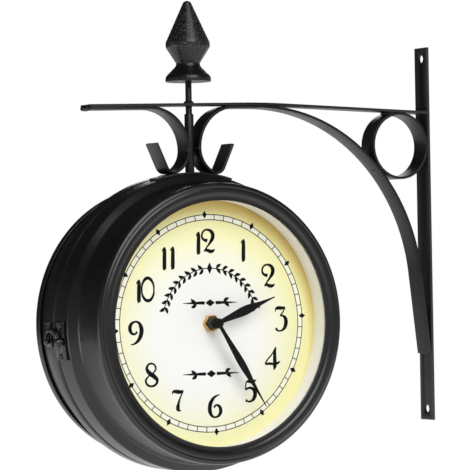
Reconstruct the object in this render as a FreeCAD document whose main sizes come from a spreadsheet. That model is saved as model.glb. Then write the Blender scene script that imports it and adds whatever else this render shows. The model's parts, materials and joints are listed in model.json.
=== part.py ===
import FreeCAD, Part
import math
import os

import Sketcher

# Double sided station clock on a flat-strap wall bracket. Millimetres.
# +X points into the wall, the front face looks along -Y, +Z is up.
# The origin is midway between the two screw holes, on the wall bar's back.

SIZES = {
    # bracket
    "strap_width": 16.0,
    "strap_thickness": 2.0,
    "wall_hole_spacing": 266.2,
    "wall_hole_radius": 3.0,
    "wall_bar_margin": 8.5,
    "arm_height": 92.05,
    "arm_rise": 1.7,
    "arm_fall": 1.45,
    "arm_bow": 700.0,
    "arm_overhang": 84.0,
    "stem_reach": 207.4,
    "scroll_height": 44.95,
    "ring_radius": 25.25,
    "bow_radius": 30.0,
    "belly_turn": 65.0,
    "toe_radius": 6.5,
    "toe_length": 19.0,
    "brace_turn": 83.0,
    "brace_tail": 62.4,
    "weld_leg": 3.0,
    # hanger
    "rod_radius": 2.3,
    "rod_play": 0.1,
    "rod_end_drop": 9.0,
    "sleeve_radius": 3.3,
    "sleeve_gap": 0.3,
    "sleeve_length": 42.2,
    "saddle_thickness": 1.6,
    "saddle_half_angle": 16.5,
    "saddle_screw_angle": 13.3,
    "finial_lift": 15.7,
    "finial_radius": 16.5,
    "finial_height": 58.7,
    "finial_foot_height": 10.6,
    "finial_neck": 8.6,
    "finial_neck_height": 13.4,
    "finial_belly": 16.0,
    "finial_belly_height": 25.0,
    "finial_band": 3.4,
    "finial_tip": 3.4,
    "finial_tip_height": 2.6,
    "finial_socket": 8.0,
    "nut_height": 4.0,
    "nut_radius": 4.6,
    "washer_thickness": 1.2,
    # case
    "sheet": 1.2,
    "bezel_radius": 100.0,
    "bezel_lip": 12.8,
    "bezel_skirt": 8.0,
    "bezel_bead": 3.0,
    "bezel_crown": 6.0,
    "bezel_step": 0.8,
    "flange_rise": 6.0,
    "flange_roll": 3.5,
    "flange_slope": 4.5,
    "front_flange": 19.0,
    "rear_flange": 12.0,
    "body_rise": 1.0,
    "waist_curve": 150.0,
    "joint_offset": 9.0,
    "joint_gap": 0.6,
    "front_depth": 53.2,
    "rear_depth": 45.0,
    "slip_gap": 0.3,
    # window and dial
    "glass_margin": 5.0,
    "glass_thickness": 2.0,
    "seal_thickness": 1.0,
    "rim_margin": 12.0,
    "rim_sheet": 0.8,
    "dial_recess": 18.7,
    "dial_margin": 8.0,
    "dial_thickness": 0.8,
    "dial_roll": 2.6,
    # movement
    "movement_depth": 17.5,
    "movement_wall": 1.5,
    "pad_thickness": 1.0,
    "pad_radius": 12.0,
    "stub_radius": 4.0,
    "stub_rise": 7.0,
    "fixing_nut_height": 2.8,
    "fixing_nut_radius": 6.35,
    "pipe_radius": 2.5,
    "arbor_radius": 1.55,
    "running_gap": 0.05,
    "wheel_distance": 10.0,
    "wheel_thickness": 1.2,
    "post_radius": 0.6,
    "cell_radius": 7.1,
    "cell_length": 49.3,
    "cell_play": 0.25,
    "cell_button": 1.2,
    "cell_button_radius": 2.7,
    "contact_thickness": 0.4,
    "contact_size": 10.0,
    "spring_length": 1.7,
    "knob_radius": 5.5,
    "knob_height": 3.8,
    "board_depth": 7.0,
    "board_height": 15.0,
    "board_thickness": 1.0,
    "boss_radius": 2.0,
    "chip_width": 8.0,
    "chip_thickness": 1.2,
    "coil_length": 22.0,
    "coil_radius": 2.8,
    # hands
    "hour_hand_rise": 9.0,
    "minute_hand_rise": 11.3,
    "hand_thickness": 0.6,
    "hour_hand_length": 51.7,
    "minute_hand_length": 71.7,
    "hand_leaf": 4.2,
    "hand_hub": 3.7,
    "hand_stem": 0.7,
    "hand_nut_height": 2.3,
    "hour_angle": 72.5,
    "minute_angle": 150.0,
    # hinge and latch
    "leaf_width": 12.0,
    "leaf_height": 24.0,
    "leaf_thickness": 1.2,
    "knuckle_radius": 2.5,
    "hinge_pin_radius": 1.25,
    "latch_angle": 185.6,
    "latch_pivot": 12.0,
    "latch_hook_radius": 8.5,
    "latch_hook_width": 3.0,
    "latch_hook_thickness": 1.6,
    "latch_pin_radius": 1.5,
    "latch_plate_top": 14.0,
    "latch_plate_drop": 13.0,
    "latch_base_drop": 4.0,
    "latch_tail": 3.0,
    "small_screw_radius": 0.9,
    "small_head_radius": 1.7,
    "small_head_height": 0.9,
    "small_screw_tail": 1.5,
}

HOUR_TEETH = 40
REVERSER_TEETH = 30
PINION_TEETH = 10
PRESSURE_ANGLE = math.radians(25.0)
ADDENDUM = 0.8
DEDENDUM = 1.05
TOOTH_THINNING = 0.05
HUB_GAP = 0.02
SEAT_GAP = 0.1

doc = FreeCAD.newDocument("station_clock")
parts = {}


class Size:
    """A number together with the expression that ties it to the sheet."""

    def __init__(self, value, text):
        self.value = value
        self.text = text

    def __add__(self, other):
        other = as_size(other)
        return Size(self.value + other.value, f"({self.text} + {other.text})")

    def __sub__(self, other):
        other = as_size(other)
        return Size(self.value - other.value, f"({self.text} - {other.text})")

    def __mul__(self, other):
        other = as_size(other)
        return Size(self.value * other.value, f"({self.text} * {other.text})")

    def __truediv__(self, other):
        other = as_size(other)
        return Size(self.value / other.value, f"({self.text} / {other.text})")

    def __neg__(self):
        return Size(-self.value, f"(0 - {self.text})")

    def __radd__(self, other):
        return as_size(other) + self

    def __rsub__(self, other):
        return as_size(other) - self

    __rmul__ = __mul__


def as_size(value):
    """Wrap a plain number, so that it can stand in an expression."""
    return value if isinstance(value, Size) else Size(float(value), f"({value:.9f})")


def sine(angle):
    return Size(math.sin(math.radians(angle.value)), f"sin({angle.text})")


def cosine(angle):
    return Size(math.cos(math.radians(angle.value)), f"cos({angle.text})")


def root(size):
    return Size(math.sqrt(size.value), f"sqrt({size.text})")


class Sheet:
    """The driving sizes, each in its own named cell."""

    def __init__(self, sizes):
        self.cells = doc.addObject("Spreadsheet::Sheet", "Sizes")
        for row, (alias, value) in enumerate(sizes.items(), start=1):
            self.cells.set(f"A{row}", alias)
            self.cells.set(f"B{row}", str(value))
            self.cells.setAlias(f"B{row}", alias)
        doc.recompute()

    def __getattr__(self, alias):
        return Size(float(getattr(self.cells, alias)), f"Sizes.{alias}")


s = Sheet(SIZES)


class Frame:
    """A place for pieces: an origin made of sizes, and a rotation."""

    def __init__(self, origin, rotation=None):
        self.origin = origin
        self.rotation = rotation or FreeCAD.Rotation()

    def put(self, piece):
        piece.Placement = FreeCAD.Placement(
            FreeCAD.Vector(*[as_size(value).value for value in self.origin]), self.rotation)
        for axis, value in zip("xyz", self.origin):
            piece.setExpression(f".Placement.Base.{axis}", as_size(value).text)
        return piece

    def at(self, x, y, z, turn=None):
        """The frame's own point x, y, z as a frame, turned further if asked."""
        columns = [self.rotation.multVec(FreeCAD.Vector(*unit))
                   for unit in ((1, 0, 0), (0, 1, 0), (0, 0, 1))]
        point = []
        for axis in range(3):
            value = as_size(self.origin[axis])
            for column, step in zip(columns, (x, y, z)):
                if abs(column[axis]) > 1e-9:
                    value = value + as_size(step) * round(column[axis], 9)
            point.append(value)
        return Frame(point, self.rotation * (turn or FreeCAD.Rotation()))


def rotation(x_axis, y_axis, z_axis):
    """The rotation that takes the unit axes to the three given directions."""
    return FreeCAD.Rotation(FreeCAD.Matrix(
        x_axis[0], y_axis[0], z_axis[0], 0,
        x_axis[1], y_axis[1], z_axis[1], 0,
        x_axis[2], y_axis[2], z_axis[2], 0,
        0, 0, 0, 1))


def spin(angle, axis=(0, 0, 1)):
    return FreeCAD.Rotation(FreeCAD.Vector(*axis), angle)


ALONG = {
    "X": spin(90, (0, 1, 0)),
    "Y": spin(-90, (1, 0, 0)),
    "Z": FreeCAD.Rotation(),
}
WORLD = Frame((0, 0, 0))
STRAP_HALF = s.strap_thickness / 2
BODY_RADIUS = s.bezel_radius + s.body_rise
FLANGE_RADIUS = BODY_RADIUS + s.flange_rise
SEAT_RADIUS = FLANGE_RADIUS + s.saddle_thickness
ARM_UNDER = SEAT_RADIUS + s.scroll_height
DRUM_Z = s.arm_height - STRAP_HALF - ARM_UNDER
DRUM = Frame((-s.stem_reach, 0, DRUM_Z))


# ---- shapes ------------------------------------------------------------------

def node(name, piece):
    """Give a finished sub-part its name."""
    piece.Label = name
    parts[name] = piece
    return piece


def bind(piece, **sizes):
    for name, size in sizes.items():
        piece.setExpression(name, as_size(size).text)
    return piece


def cylinder(radius, height, frame=WORLD, name="rod"):
    piece = doc.addObject("Part::Cylinder", name)
    return frame.put(bind(piece, Radius=radius, Height=height))


def box(low, high, frame=WORLD, name="block"):
    """A block between two corners of the frame."""
    piece = doc.addObject("Part::Box", name)
    lengths = [as_size(top) - as_size(bottom) for bottom, top in zip(low, high)]
    bind(piece, Length=lengths[0], Width=lengths[1], Height=lengths[2])
    return frame.at(*low).put(piece)


def cone(low_radius, high_radius, height, frame=WORLD):
    piece = doc.addObject("Part::Cone", "cone")
    return frame.put(bind(piece, Radius1=low_radius, Radius2=high_radius, Height=height))


def hexagon(radius, height, frame=WORLD):
    piece = doc.addObject("Part::Prism", "hexagon")
    piece.Polygon = 6
    return frame.put(bind(piece, Circumradius=radius, Height=height))


def fuse(*pieces, name="joined"):
    if len(pieces) == 1:
        return pieces[0]
    piece = doc.addObject("Part::MultiFuse", name)
    piece.Shapes = list(pieces)
    return piece


def cut(base, *tools, name="cut"):
    piece = doc.addObject("Part::Cut", name)
    piece.Base = base
    piece.Tool = fuse(*tools, name="tools")
    return piece


def group(*pieces):
    """Separate solids that share one node."""
    piece = doc.addObject("Part::Compound", "group")
    piece.Links = list(pieces)
    return piece


def origin_feature(body, role):
    return [item for item in body.Origin.OriginFeatures if item.Role == role][0]


def bulge(start, end, radius, side):
    """The minor arc from start to end: side 1 turns left, side -1 right."""
    chord = FreeCAD.Vector(end[0] - start[0], end[1] - start[1], 0)
    middle = FreeCAD.Vector((start[0] + end[0]) / 2, (start[1] + end[1]) / 2, 0)
    rise = math.sqrt(max(radius ** 2 - (chord.Length / 2) ** 2, 0.0))
    normal = FreeCAD.Vector(-chord.y, chord.x, 0).normalize()
    centre = middle + normal * (side * rise)
    first, last = (start, end) if side > 0 else (end, start)
    angles = [math.atan2(point[1] - centre.y, point[0] - centre.x) for point in (first, last)]
    circle = Part.Circle(centre, FreeCAD.Vector(0, 0, 1), radius)
    return Part.ArcOfCircle(circle, angles[0], angles[1])


def sketch(body, plane, lift=0, turn=0):
    piece = body.newObject("Sketcher::SketchObject", "outline")
    piece.AttachmentSupport = [(origin_feature(body, plane), "")]
    piece.MapMode = "FlatFace"
    piece.AttachmentOffset = FreeCAD.Placement(FreeCAD.Vector(), spin(turn))
    piece.setExpression(".AttachmentOffset.Base.z", as_size(lift).text)
    return piece


def outline(body, plane, corners, lift=0, turn=0):
    """A closed outline. A corner is (x, y), or (x, y, radius, side) after an arc."""
    piece = sketch(body, plane, lift, turn)
    points = [(as_size(corner[0]), as_size(corner[1])) for corner in corners]
    values = [(x.value, y.value) for x, y in points]
    count = len(corners)
    ends = []
    limits = []
    ties = {}
    for index in range(count):
        target = corners[(index + 1) % count]
        start = values[index]
        end = values[(index + 1) % count]
        if len(target) == 4:
            radius = as_size(target[2])
            piece.addGeometry(bulge(start, end, radius.value, target[3]), False)
            ends.append((1, 2) if target[3] > 0 else (2, 1))
            ties[f"radius{index}"] = radius
            limits.append(Sketcher.Constraint("Radius", index, radius.value))
        else:
            vectors = [FreeCAD.Vector(*start, 0), FreeCAD.Vector(*end, 0)]
            piece.addGeometry(Part.LineSegment(*vectors), False)
            ends.append((1, 2))
    for index, (x, y) in enumerate(points):
        ties[f"across{index}"] = x
        ties[f"up{index}"] = y
        limits.append(Sketcher.Constraint("DistanceX", -1, 1, index, ends[index][0], x.value))
        limits.append(Sketcher.Constraint("DistanceY", -1, 1, index, ends[index][0], y.value))
    joins = [Sketcher.Constraint("Coincident", index, ends[index][1],
                                 (index + 1) % count, ends[(index + 1) % count][0])
             for index in range(count)]
    piece.addConstraint(joins + limits)
    for index, (name, size) in enumerate(ties.items(), start=count):
        piece.renameConstraint(index, name)
        piece.setExpression(f"Constraints.{name}", size.text)
    return piece


def new_body(name="body"):
    return doc.addObject("PartDesign::Body", name)


def turned(corners, body=None):
    """A body of revolution about Z, from corners (radius, height)."""
    body = body or new_body("turned")
    feature = body.newObject("PartDesign::Revolution", "Revolution")
    profile = outline(body, "XZ_Plane", corners)
    feature.Profile = profile
    feature.ReferenceAxis = (profile, ["V_Axis"])
    feature.Angle = 360
    return body


def ring(inner, outer, low, high):
    return turned([(inner, low), (outer, low), (outer, high), (inner, high)])


def pad(body, profile, height, symmetric=False):
    feature = body.newObject("PartDesign::Pad", "Pad")
    feature.Profile = profile
    bind(feature, Length=height)
    if symmetric:
        feature.SideType = "Symmetric"
    return feature


def disc(body, radius, low, height):
    """Add a round disc to a body."""
    profile = sketch(body, "XY_Plane", low)
    profile.addGeometry(Part.Circle(FreeCAD.Vector(), FreeCAD.Vector(0, 0, 1), radius.value), False)
    profile.addConstraint([Sketcher.Constraint("Coincident", 0, 3, -1, 1),
                           Sketcher.Constraint("Radius", 0, radius.value)])
    profile.renameConstraint(1, "radius")
    profile.setExpression("Constraints.radius", radius.text)
    return pad(body, profile, height)


def involute(angle):
    return math.tan(angle) - angle


def tooth_half_angle(teeth, ratio):
    """Half a tooth's angle where the radius is ratio times the pitch radius."""
    base = math.cos(PRESSURE_ANGLE)
    pitch_angle = (math.pi / 2 - 2 * TOOTH_THINNING) / teeth
    flank = math.acos(base / ratio) if ratio > base else 0.0
    return pitch_angle + involute(PRESSURE_ANGLE) - involute(flank)


def toothed(teeth, pitch_radius, bore, low, height, first):
    """A bored and toothed wheel, its first tooth at the given angle."""
    flank = []
    for depth in (-DEDENDUM, 0.0, ADDENDUM / 2, ADDENDUM):
        ratio = 1 + 2 * depth / teeth
        flank.append((pitch_radius.value * ratio, tooth_half_angle(teeth, ratio)))
    sides = [(radius, -half) for radius, half in flank]
    sides += [(radius, half) for radius, half in reversed(flank)]
    points = []
    for tooth in range(teeth):
        middle = math.radians(first + 360 * tooth / teeth)
        for radius, half in sides:
            angle = middle + half
            points.append(FreeCAD.Vector(radius * math.cos(angle), radius * math.sin(angle), low.value))
    hole = Part.makeCircle(bore.value, FreeCAD.Vector(0, 0, low.value))
    plate = Part.makeFace([Part.makePolygon(points + points[:1]), Part.Wire(hole)], "Part::FaceMakerBullseye")
    wheel = doc.addObject("Part::Feature", "wheel")
    wheel.Shape = plate.extrude(FreeCAD.Vector(0, 0, as_size(height).value))
    return wheel


# ---- bracket -------------------------------------------------------------------

class Strap:
    """The outline of a bent strap, followed along its middle line."""

    def __init__(self, x, y, heading):
        self.x = x
        self.y = y
        self.heading = heading
        self.left = [self.side(1)]
        self.right = [self.side(-1)]

    def side(self, sign):
        half = s.strap_thickness * (0.5 * sign)
        return (self.x - half * sine(self.heading), self.y + half * cosine(self.heading))

    def straight(self, length):
        self.x = self.x + length * cosine(self.heading)
        self.y = self.y + length * sine(self.heading)
        self.left.append(self.side(1))
        self.right.append(self.side(-1))

    def bend(self, radius, turn, sign):
        """Bend by turn degrees: sign 1 to the left, sign -1 to the right."""
        before = self.heading
        self.heading = self.heading + turn * sign
        self.x = self.x + radius * (sine(self.heading) - sine(before)) * sign
        self.y = self.y - radius * (cosine(self.heading) - cosine(before)) * sign
        half = s.strap_thickness * (0.5 * sign)
        self.left.append((*self.side(1), radius - half, sign))
        self.right.append((*self.side(-1), radius + half, sign))

    def corners(self):
        """The closed outline: out along the right side and back along the left."""
        back = []
        arc = ()
        for corner in reversed(self.left):
            back.append((*corner[:2], *arc))
            arc = (corner[2], -corner[3]) if len(corner) == 4 else ()
        return self.right + back

    def body(self):
        body = new_body("strap")
        profile = outline(body, "XZ_Plane", self.corners())
        pad(body, profile, s.strap_width, symmetric=True)
        return body


# The arm rises from the wall bar, bows over its top, and falls towards its tip.
# Levels and lengths here are in the drum's frame: x from the stem, y from the drum's axis.
RISE = sine(s.arm_rise) / cosine(s.arm_rise)
FALL = sine(s.arm_fall) / cosine(s.arm_fall)
WALL_X = s.stem_reach - s.strap_thickness
WALL_Y = ARM_UNDER + STRAP_HALF
LAYER_GAP = 0.02
RING_OUT = s.strap_thickness + s.ring_radius
RING_Y = WALL_Y + s.ring_radius * RISE - (s.ring_radius + STRAP_HALF) / cosine(s.arm_rise) - LAYER_GAP
STEM_SIDE = s.sleeve_radius + s.sleeve_gap + STRAP_HALF


def brace_radius():
    """The brace's radius that lets it touch the ring and the top of the arm's bow."""
    lean = cosine(s.brace_turn)
    rise = sine(s.brace_turn)
    inset = s.ring_radius - STRAP_HALF - s.brace_tail * lean
    slope = rise * RISE
    run = s.brace_tail * lean + STRAP_HALF - s.arm_bow * sine(s.arm_rise)
    level = WALL_Y + run * RISE + s.arm_bow * (1 - cosine(s.arm_rise)) - s.strap_thickness - LAYER_GAP
    lead = level - RING_Y
    reach = s.ring_radius + STRAP_HALF
    square = rise * rise + (1 - slope) * (1 - slope) - 1
    half = inset * rise + lead * (1 - slope) + reach
    rest = inset * inset + lead * lead - reach * reach
    return (half + root(half * half - square * rest)) / square


BRACE_RADIUS = brace_radius()
TOP_X = WALL_X - STRAP_HALF - s.brace_tail * cosine(s.brace_turn) - BRACE_RADIUS * sine(s.brace_turn)
TOP_Y = (WALL_Y + (WALL_X - TOP_X - s.arm_bow * sine(s.arm_rise)) * RISE
         + s.arm_bow * (1 - cosine(s.arm_rise)))
LAYER_Y = TOP_Y - s.strap_thickness - LAYER_GAP
LAYER_BOW = s.arm_bow - s.strap_thickness - LAYER_GAP


def layer_level(x):
    """The middle line of the strap under the arm's falling part, at x."""
    bend_x = TOP_X - LAYER_BOW * sine(s.arm_fall)
    return LAYER_Y - LAYER_BOW * (1 - cosine(s.arm_fall)) - (bend_x - x) * FALL


STEM_TOP = DRUM_Z + layer_level(as_size(0)) + (STRAP_HALF * 3 + LAYER_GAP) / cosine(s.arm_fall)


def belly_radius(start_y):
    """The belly's radius that sets the toe's arc down on the saddle."""
    out = 1 - cosine(s.belly_turn)
    down = sine(s.belly_turn)
    side = STEM_SIDE + s.toe_radius * cosine(s.belly_turn)
    level = start_y - s.bow_radius * cosine(s.arm_fall) + s.toe_radius * down
    reach = SEAT_RADIUS + STRAP_HALF + s.toe_radius + LAYER_GAP
    square = out * out + down * down
    half = level * down - side * out
    return (half - root(half * half - square * (side * side + level * level - reach * reach))) / square


def scroll(strap, sign, start_y):
    """Bend the strap down from under the arm into its belly and its toe."""
    turn = 90 - s.arm_fall * sign
    strap.bend(s.bow_radius, turn, sign)
    strap.bend(belly_radius(start_y), s.belly_turn, sign)
    strap.bend(s.toe_radius, as_size(90), sign)
    strap.straight(s.toe_length)


def left_scroll():
    start_x = -STEM_SIDE - s.bow_radius * (1 + sine(s.arm_fall))
    strap = Strap(-s.arm_overhang, layer_level(-s.arm_overhang), s.arm_fall)
    strap.straight((s.arm_overhang + start_x) / cosine(s.arm_fall))
    scroll(strap, -1, layer_level(start_x))
    return node("left_scroll", DRUM.put(strap.body()))


def brace_scroll():
    """One strap: up from the wall bar, round the ring, along the arm, into the scroll."""
    start_x = STEM_SIDE + s.bow_radius * (1 - sine(s.arm_fall))
    bend_x = TOP_X - LAYER_BOW * sine(s.arm_fall)
    height = LAYER_Y - BRACE_RADIUS * (1 - cosine(s.brace_turn)) - s.brace_tail * sine(s.brace_turn)
    strap = Strap(WALL_X - STRAP_HALF, height, s.brace_turn * -1 + 180)
    strap.straight(s.brace_tail)
    strap.bend(BRACE_RADIUS, s.brace_turn, 1)
    strap.bend(LAYER_BOW, s.arm_fall, 1)
    strap.straight((bend_x - start_x) / cosine(s.arm_fall))
    scroll(strap, 1, layer_level(start_x))
    return node("brace_scroll", DRUM.put(strap.body()))


def wall_bar():
    half = s.wall_hole_spacing / 2 + s.wall_bar_margin
    bar = box((-s.strap_thickness, s.strap_width * -0.5, -half), (0, s.strap_width / 2, half))
    holes = [cylinder(s.wall_hole_radius, s.strap_thickness * 2,
                      Frame((s.strap_thickness * -1.5, 0, s.wall_hole_spacing * share), ALONG["X"]))
             for share in (-0.5, 0.5)]
    return node("wall_bar", cut(bar, *holes))


def arm_bar():
    start = WALL_X - STRAP_HALF * sine(s.arm_rise)
    near = TOP_X + s.arm_bow * sine(s.arm_rise)
    far = TOP_X - s.arm_bow * sine(s.arm_fall)
    strap = Strap(start, WALL_Y, 180 - s.arm_rise)
    strap.straight((start - near) / cosine(s.arm_rise))
    strap.bend(s.arm_bow, s.arm_rise + s.arm_fall, 1)
    strap.straight((far + s.arm_overhang) / cosine(s.arm_fall))
    hole = cylinder(s.rod_radius + s.rod_play, s.strap_thickness * 4,
                    Frame((-s.stem_reach, 0, STEM_TOP - s.strap_thickness * 3)))
    return node("arm_bar", cut(DRUM.put(strap.body()), hole))


RING_X = -RING_OUT
RING_Z = DRUM_Z + RING_Y
RING = Frame((RING_X, s.strap_width * -0.5, RING_Z), ALONG["Y"])


def bracket_ring():
    outer = cylinder(s.ring_radius, s.strap_width, RING)
    inner = cylinder(s.ring_radius - s.strap_thickness, s.strap_width * 2,
                     Frame((RING_X, -s.strap_width, RING_Z), ALONG["Y"]))
    return node("bracket_ring", cut(outer, inner))


def weld_beads():
    """Fillets where the arm and the ring meet the bars, and a collar on the rod."""
    leg = s.weld_leg
    near = s.strap_width * -0.5 + 1
    far = s.strap_width / 2 - 1
    top = s.arm_height + STRAP_HALF + leg * RISE + LAYER_GAP
    under = s.arm_height - STRAP_HALF + (s.ring_radius + leg * 1.6) * RISE - LAYER_GAP * 2
    front = -s.strap_thickness
    disc_cutter = [cylinder(s.ring_radius, s.strap_width, RING) for _ in range(2)]
    corner = box((front - leg, near, top), (front, far, top + leg))
    hollow = cylinder(leg, s.strap_width,
                      Frame((front - leg, s.strap_width * -0.5, top + leg), ALONG["Y"]))
    side = box((front - leg * 0.5, near, RING_Z + leg * 1.6), (front, far, RING_Z + leg * 2.6))
    crown = box((RING_X - leg * 2.6, near, under - leg * 0.5), (RING_X - leg * 1.6, far, under))
    collar_low = STEM_TOP + (s.rod_radius + 2) * FALL
    collar = cut(cone(s.rod_radius + 1.9, s.rod_radius + 0.6, 1.6, Frame((-s.stem_reach, 0, collar_low))),
                 cylinder(s.rod_radius, 4, Frame((-s.stem_reach, 0, collar_low - 1))))
    return node("weld_beads", group(cut(corner, hollow), cut(side, disc_cutter[0]),
                                    cut(crown, disc_cutter[1]), collar))


# ---- hanger --------------------------------------------------------------------

def drum_frame(angle, along, radius):
    """On the drum: X to the front, Z outwards, at an angle from +X towards +Z."""
    c = math.cos(math.radians(angle.value))
    d = math.sin(math.radians(angle.value))
    turn = rotation((0, -1, 0), (d, 0, -c), (c, 0, d))
    origin = (radius * cosine(angle) - s.stem_reach, along, radius * sine(angle) + DRUM_Z)
    return Frame(origin, turn)


SADDLE_MIDDLE = (s.joint_offset - s.flange_roll - s.strap_width / 2) / 2
SADDLE_WIDTH = s.joint_offset - s.flange_roll + s.strap_width / 2
SADDLE_TOP = SEAT_RADIUS + DRUM_Z
SADDLE_SCREW_ANGLES = (90 - s.saddle_screw_angle, 90 + s.saddle_screw_angle)


def small_screw(frame, grip, hole=False):
    """A round-headed screw through a sheet of the given grip, or its hole."""
    if hole:
        return cylinder(s.small_screw_radius + s.rod_play, grip + s.small_screw_tail * 2,
                        frame.at(0, 0, -grip - s.small_screw_tail))
    shank = cylinder(s.small_screw_radius, grip + s.small_screw_tail,
                     frame.at(0, 0, -grip - s.small_screw_tail))
    head = cone(s.small_head_radius, s.small_head_radius * 0.7, s.small_head_height, frame)
    return fuse(shank, head)


def saddle_screw_frames():
    return [drum_frame(angle, SADDLE_MIDDLE, SEAT_RADIUS) for angle in SADDLE_SCREW_ANGLES]


def rod_hole():
    """The hole for the rod through the drum's roof and the saddle."""
    return cylinder(s.rod_radius + s.rod_play, s.rod_end_drop * 2,
                    DRUM.at(0, 0, FLANGE_RADIUS - s.rod_end_drop))


def foot_saddle():
    turn = rotation((1, 0, 0), (0, 0, 1), (0, -1, 0))
    start = SADDLE_MIDDLE + SADDLE_WIDTH / 2
    frame = Frame((-s.stem_reach, start, DRUM_Z), turn * spin(90 - s.saddle_half_angle.value))
    outer = cylinder(SEAT_RADIUS, SADDLE_WIDTH, frame)
    inner = cylinder(FLANGE_RADIUS + SEAT_GAP, SADDLE_WIDTH, frame)
    for piece in (outer, inner):
        bind(piece, Angle=s.saddle_half_angle * 2)
    screws = [small_screw(item, s.saddle_thickness, hole=True) for item in saddle_screw_frames()]
    return node("foot_saddle", cut(outer, inner, rod_hole(), *screws))


def foot_screws():
    grip = s.saddle_thickness + s.sheet
    return node("foot_screws", group(*[small_screw(item, grip) for item in saddle_screw_frames()]))


FINIAL_BASE = STEM_TOP + s.finial_lift
ROD_LOW = DRUM_Z + FLANGE_RADIUS - s.rod_end_drop


def hanger_rod():
    height = FINIAL_BASE + s.finial_socket - 0.5 - ROD_LOW
    rod = cylinder(s.rod_radius, height, Frame((-s.stem_reach, 0, ROD_LOW)))
    return node("hanger_rod", rod)


def stem_sleeve():
    body = ring(s.rod_radius + HUB_GAP, s.sleeve_radius, as_size(0), s.sleeve_length)
    return node("stem_sleeve", Frame((-s.stem_reach, 0, SADDLE_TOP)).put(body))


def finial():
    """A turned knob: bell foot, neck, belly and a long cone with a round tip."""
    foot = s.finial_radius
    neck = s.finial_neck
    belly = s.finial_belly
    band = s.finial_belly_height + s.finial_band
    tip = s.finial_tip
    cap = s.finial_tip_height
    top = s.finial_height
    socket = s.rod_radius + HUB_GAP
    rolled = foot * 0.1
    corners = [
        (0, s.finial_socket), (socket, s.finial_socket), (socket, 0), (foot, 0), (foot, rolled),
        (foot - rolled, s.finial_foot_height / 2, foot * 0.28, 1),
        (neck + rolled / 2, s.finial_foot_height), (neck, s.finial_neck_height, foot * 0.25, -1),
        (belly, s.finial_belly_height), (belly, band, foot * 0.36, 1),
        (tip, top - cap), (0, top, (tip * tip + cap * cap) / (cap * 2), 1),
    ]
    return node("finial", Frame((-s.stem_reach, 0, FINIAL_BASE)).put(turned(corners)))


def rod_nuts():
    """The washer under the case's roof, and the nut that pulls the rod tight."""
    roof = FLANGE_RADIUS - s.sheet
    washer_radius = s.nut_radius * 1.26
    high = root(roof * roof - washer_radius * washer_radius)
    hole = s.rod_radius + HUB_GAP
    washer_frame = DRUM.at(0, 0, high - s.washer_thickness)
    nut_frame = DRUM.at(0, 0, high - s.washer_thickness - s.nut_height)
    washer = cut(cylinder(washer_radius, s.washer_thickness, washer_frame),
                 cylinder(hole, s.washer_thickness, washer_frame))
    nut = cut(hexagon(s.nut_radius, s.nut_height, nut_frame),
              cylinder(hole, s.nut_height, nut_frame))
    return node("rod_nuts", group(washer, nut))


# ---- case ----------------------------------------------------------------------

class Side:
    """One face of the clock: its name, which way it looks, and its depth."""

    def __init__(self, name, facing, depth, flange):
        self.name = name
        self.depth = depth
        self.flange = flange
        sideways = -facing
        outwards = rotation((sideways, 0, 0), (0, 0, 1), (0, facing, 0))
        roll = spin(sideways * s.dial_roll.value)
        start = s.joint_offset
        self.joint = Frame((-s.stem_reach, start, DRUM_Z), outwards)
        self.face = Frame((-s.stem_reach, start + depth * facing, DRUM_Z), outwards * roll)

    def node(self, name, piece, turn=0):
        """Name a piece of this side and put it in the face's frame."""
        frame = Frame(self.face.origin, self.face.rotation * spin(turn))
        return node(f"{self.name}_{name}", frame.put(piece))


FRONT = Side("front", -1, s.front_depth, s.front_flange)
REAR = Side("rear", 1, s.rear_depth, s.rear_flange)

LIP_BACK = -s.bezel_step - s.sheet
GLASS_BACK = LIP_BACK - s.glass_thickness
SEAL_BACK = GLASS_BACK - s.seal_thickness
MOUTH = SEAL_BACK - s.rim_sheet
SKIRT_RADIUS = s.bezel_radius - s.sheet
MOUTH_RADIUS = SKIRT_RADIUS - s.slip_gap
GLASS_RADIUS = s.bezel_radius - s.glass_margin
RIM_RADIUS = s.bezel_radius - s.rim_margin
DIAL_RADIUS = s.bezel_radius - s.dial_margin


def case_shell(side):
    """The drum's sheet: rolled joint edge, flange, shoulder and waisted body."""
    edge = s.joint_gap / 2
    crest = FLANGE_RADIUS
    lip = crest - s.flange_roll
    shoulder = side.flange + s.flange_slope
    neck = side.depth - s.bezel_skirt - 1
    mouth = side.depth + MOUTH
    wall = s.sheet
    corners = [
        (lip, edge), (crest, edge + s.flange_roll, s.flange_roll, 1),
        (crest, side.flange), (BODY_RADIUS, shoulder),
        (MOUTH_RADIUS, neck, s.waist_curve, -1), (MOUTH_RADIUS, mouth),
        (MOUTH_RADIUS - wall, mouth), (MOUTH_RADIUS - wall, neck),
        (BODY_RADIUS - wall, shoulder - wall / 2, s.waist_curve, 1),
        (crest - wall, side.flange - wall / 2), (crest - wall, edge + s.flange_roll),
        (lip, edge + wall, s.flange_roll - wall, -1),
    ]
    return side.joint.put(turned(corners))


HINGE = drum_frame(as_size(0), s.joint_offset, FLANGE_RADIUS + s.knuckle_radius)
LEAF_SCREWS = [(facing, height) for facing in (1, -1) for height in (-7, 7)]
LEAF_TOP = s.leaf_thickness - s.knuckle_radius


def leaf_screw_frames(facing):
    """The two screws of a hinge leaf: facing 1 is the front leaf, -1 the rear."""
    across = (s.knuckle_radius + s.leaf_width) / 2 + 0.25
    return [HINGE.at(across * facing, height, LEAF_TOP) for side, height in LEAF_SCREWS if side == facing]


LATCH = drum_frame(s.latch_angle, s.joint_offset, FLANGE_RADIUS)
LATCH_PLATE_TOP = s.leaf_thickness
LATCH_SCREWS = (
    (1, s.latch_pivot - 1, s.latch_plate_top - 2.5),
    (1, s.latch_pivot - 4, 3 - s.latch_plate_drop),
    (-1, -s.rear_flange / 2 - 1.5, s.latch_plate_top - 3.5),
)


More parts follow.
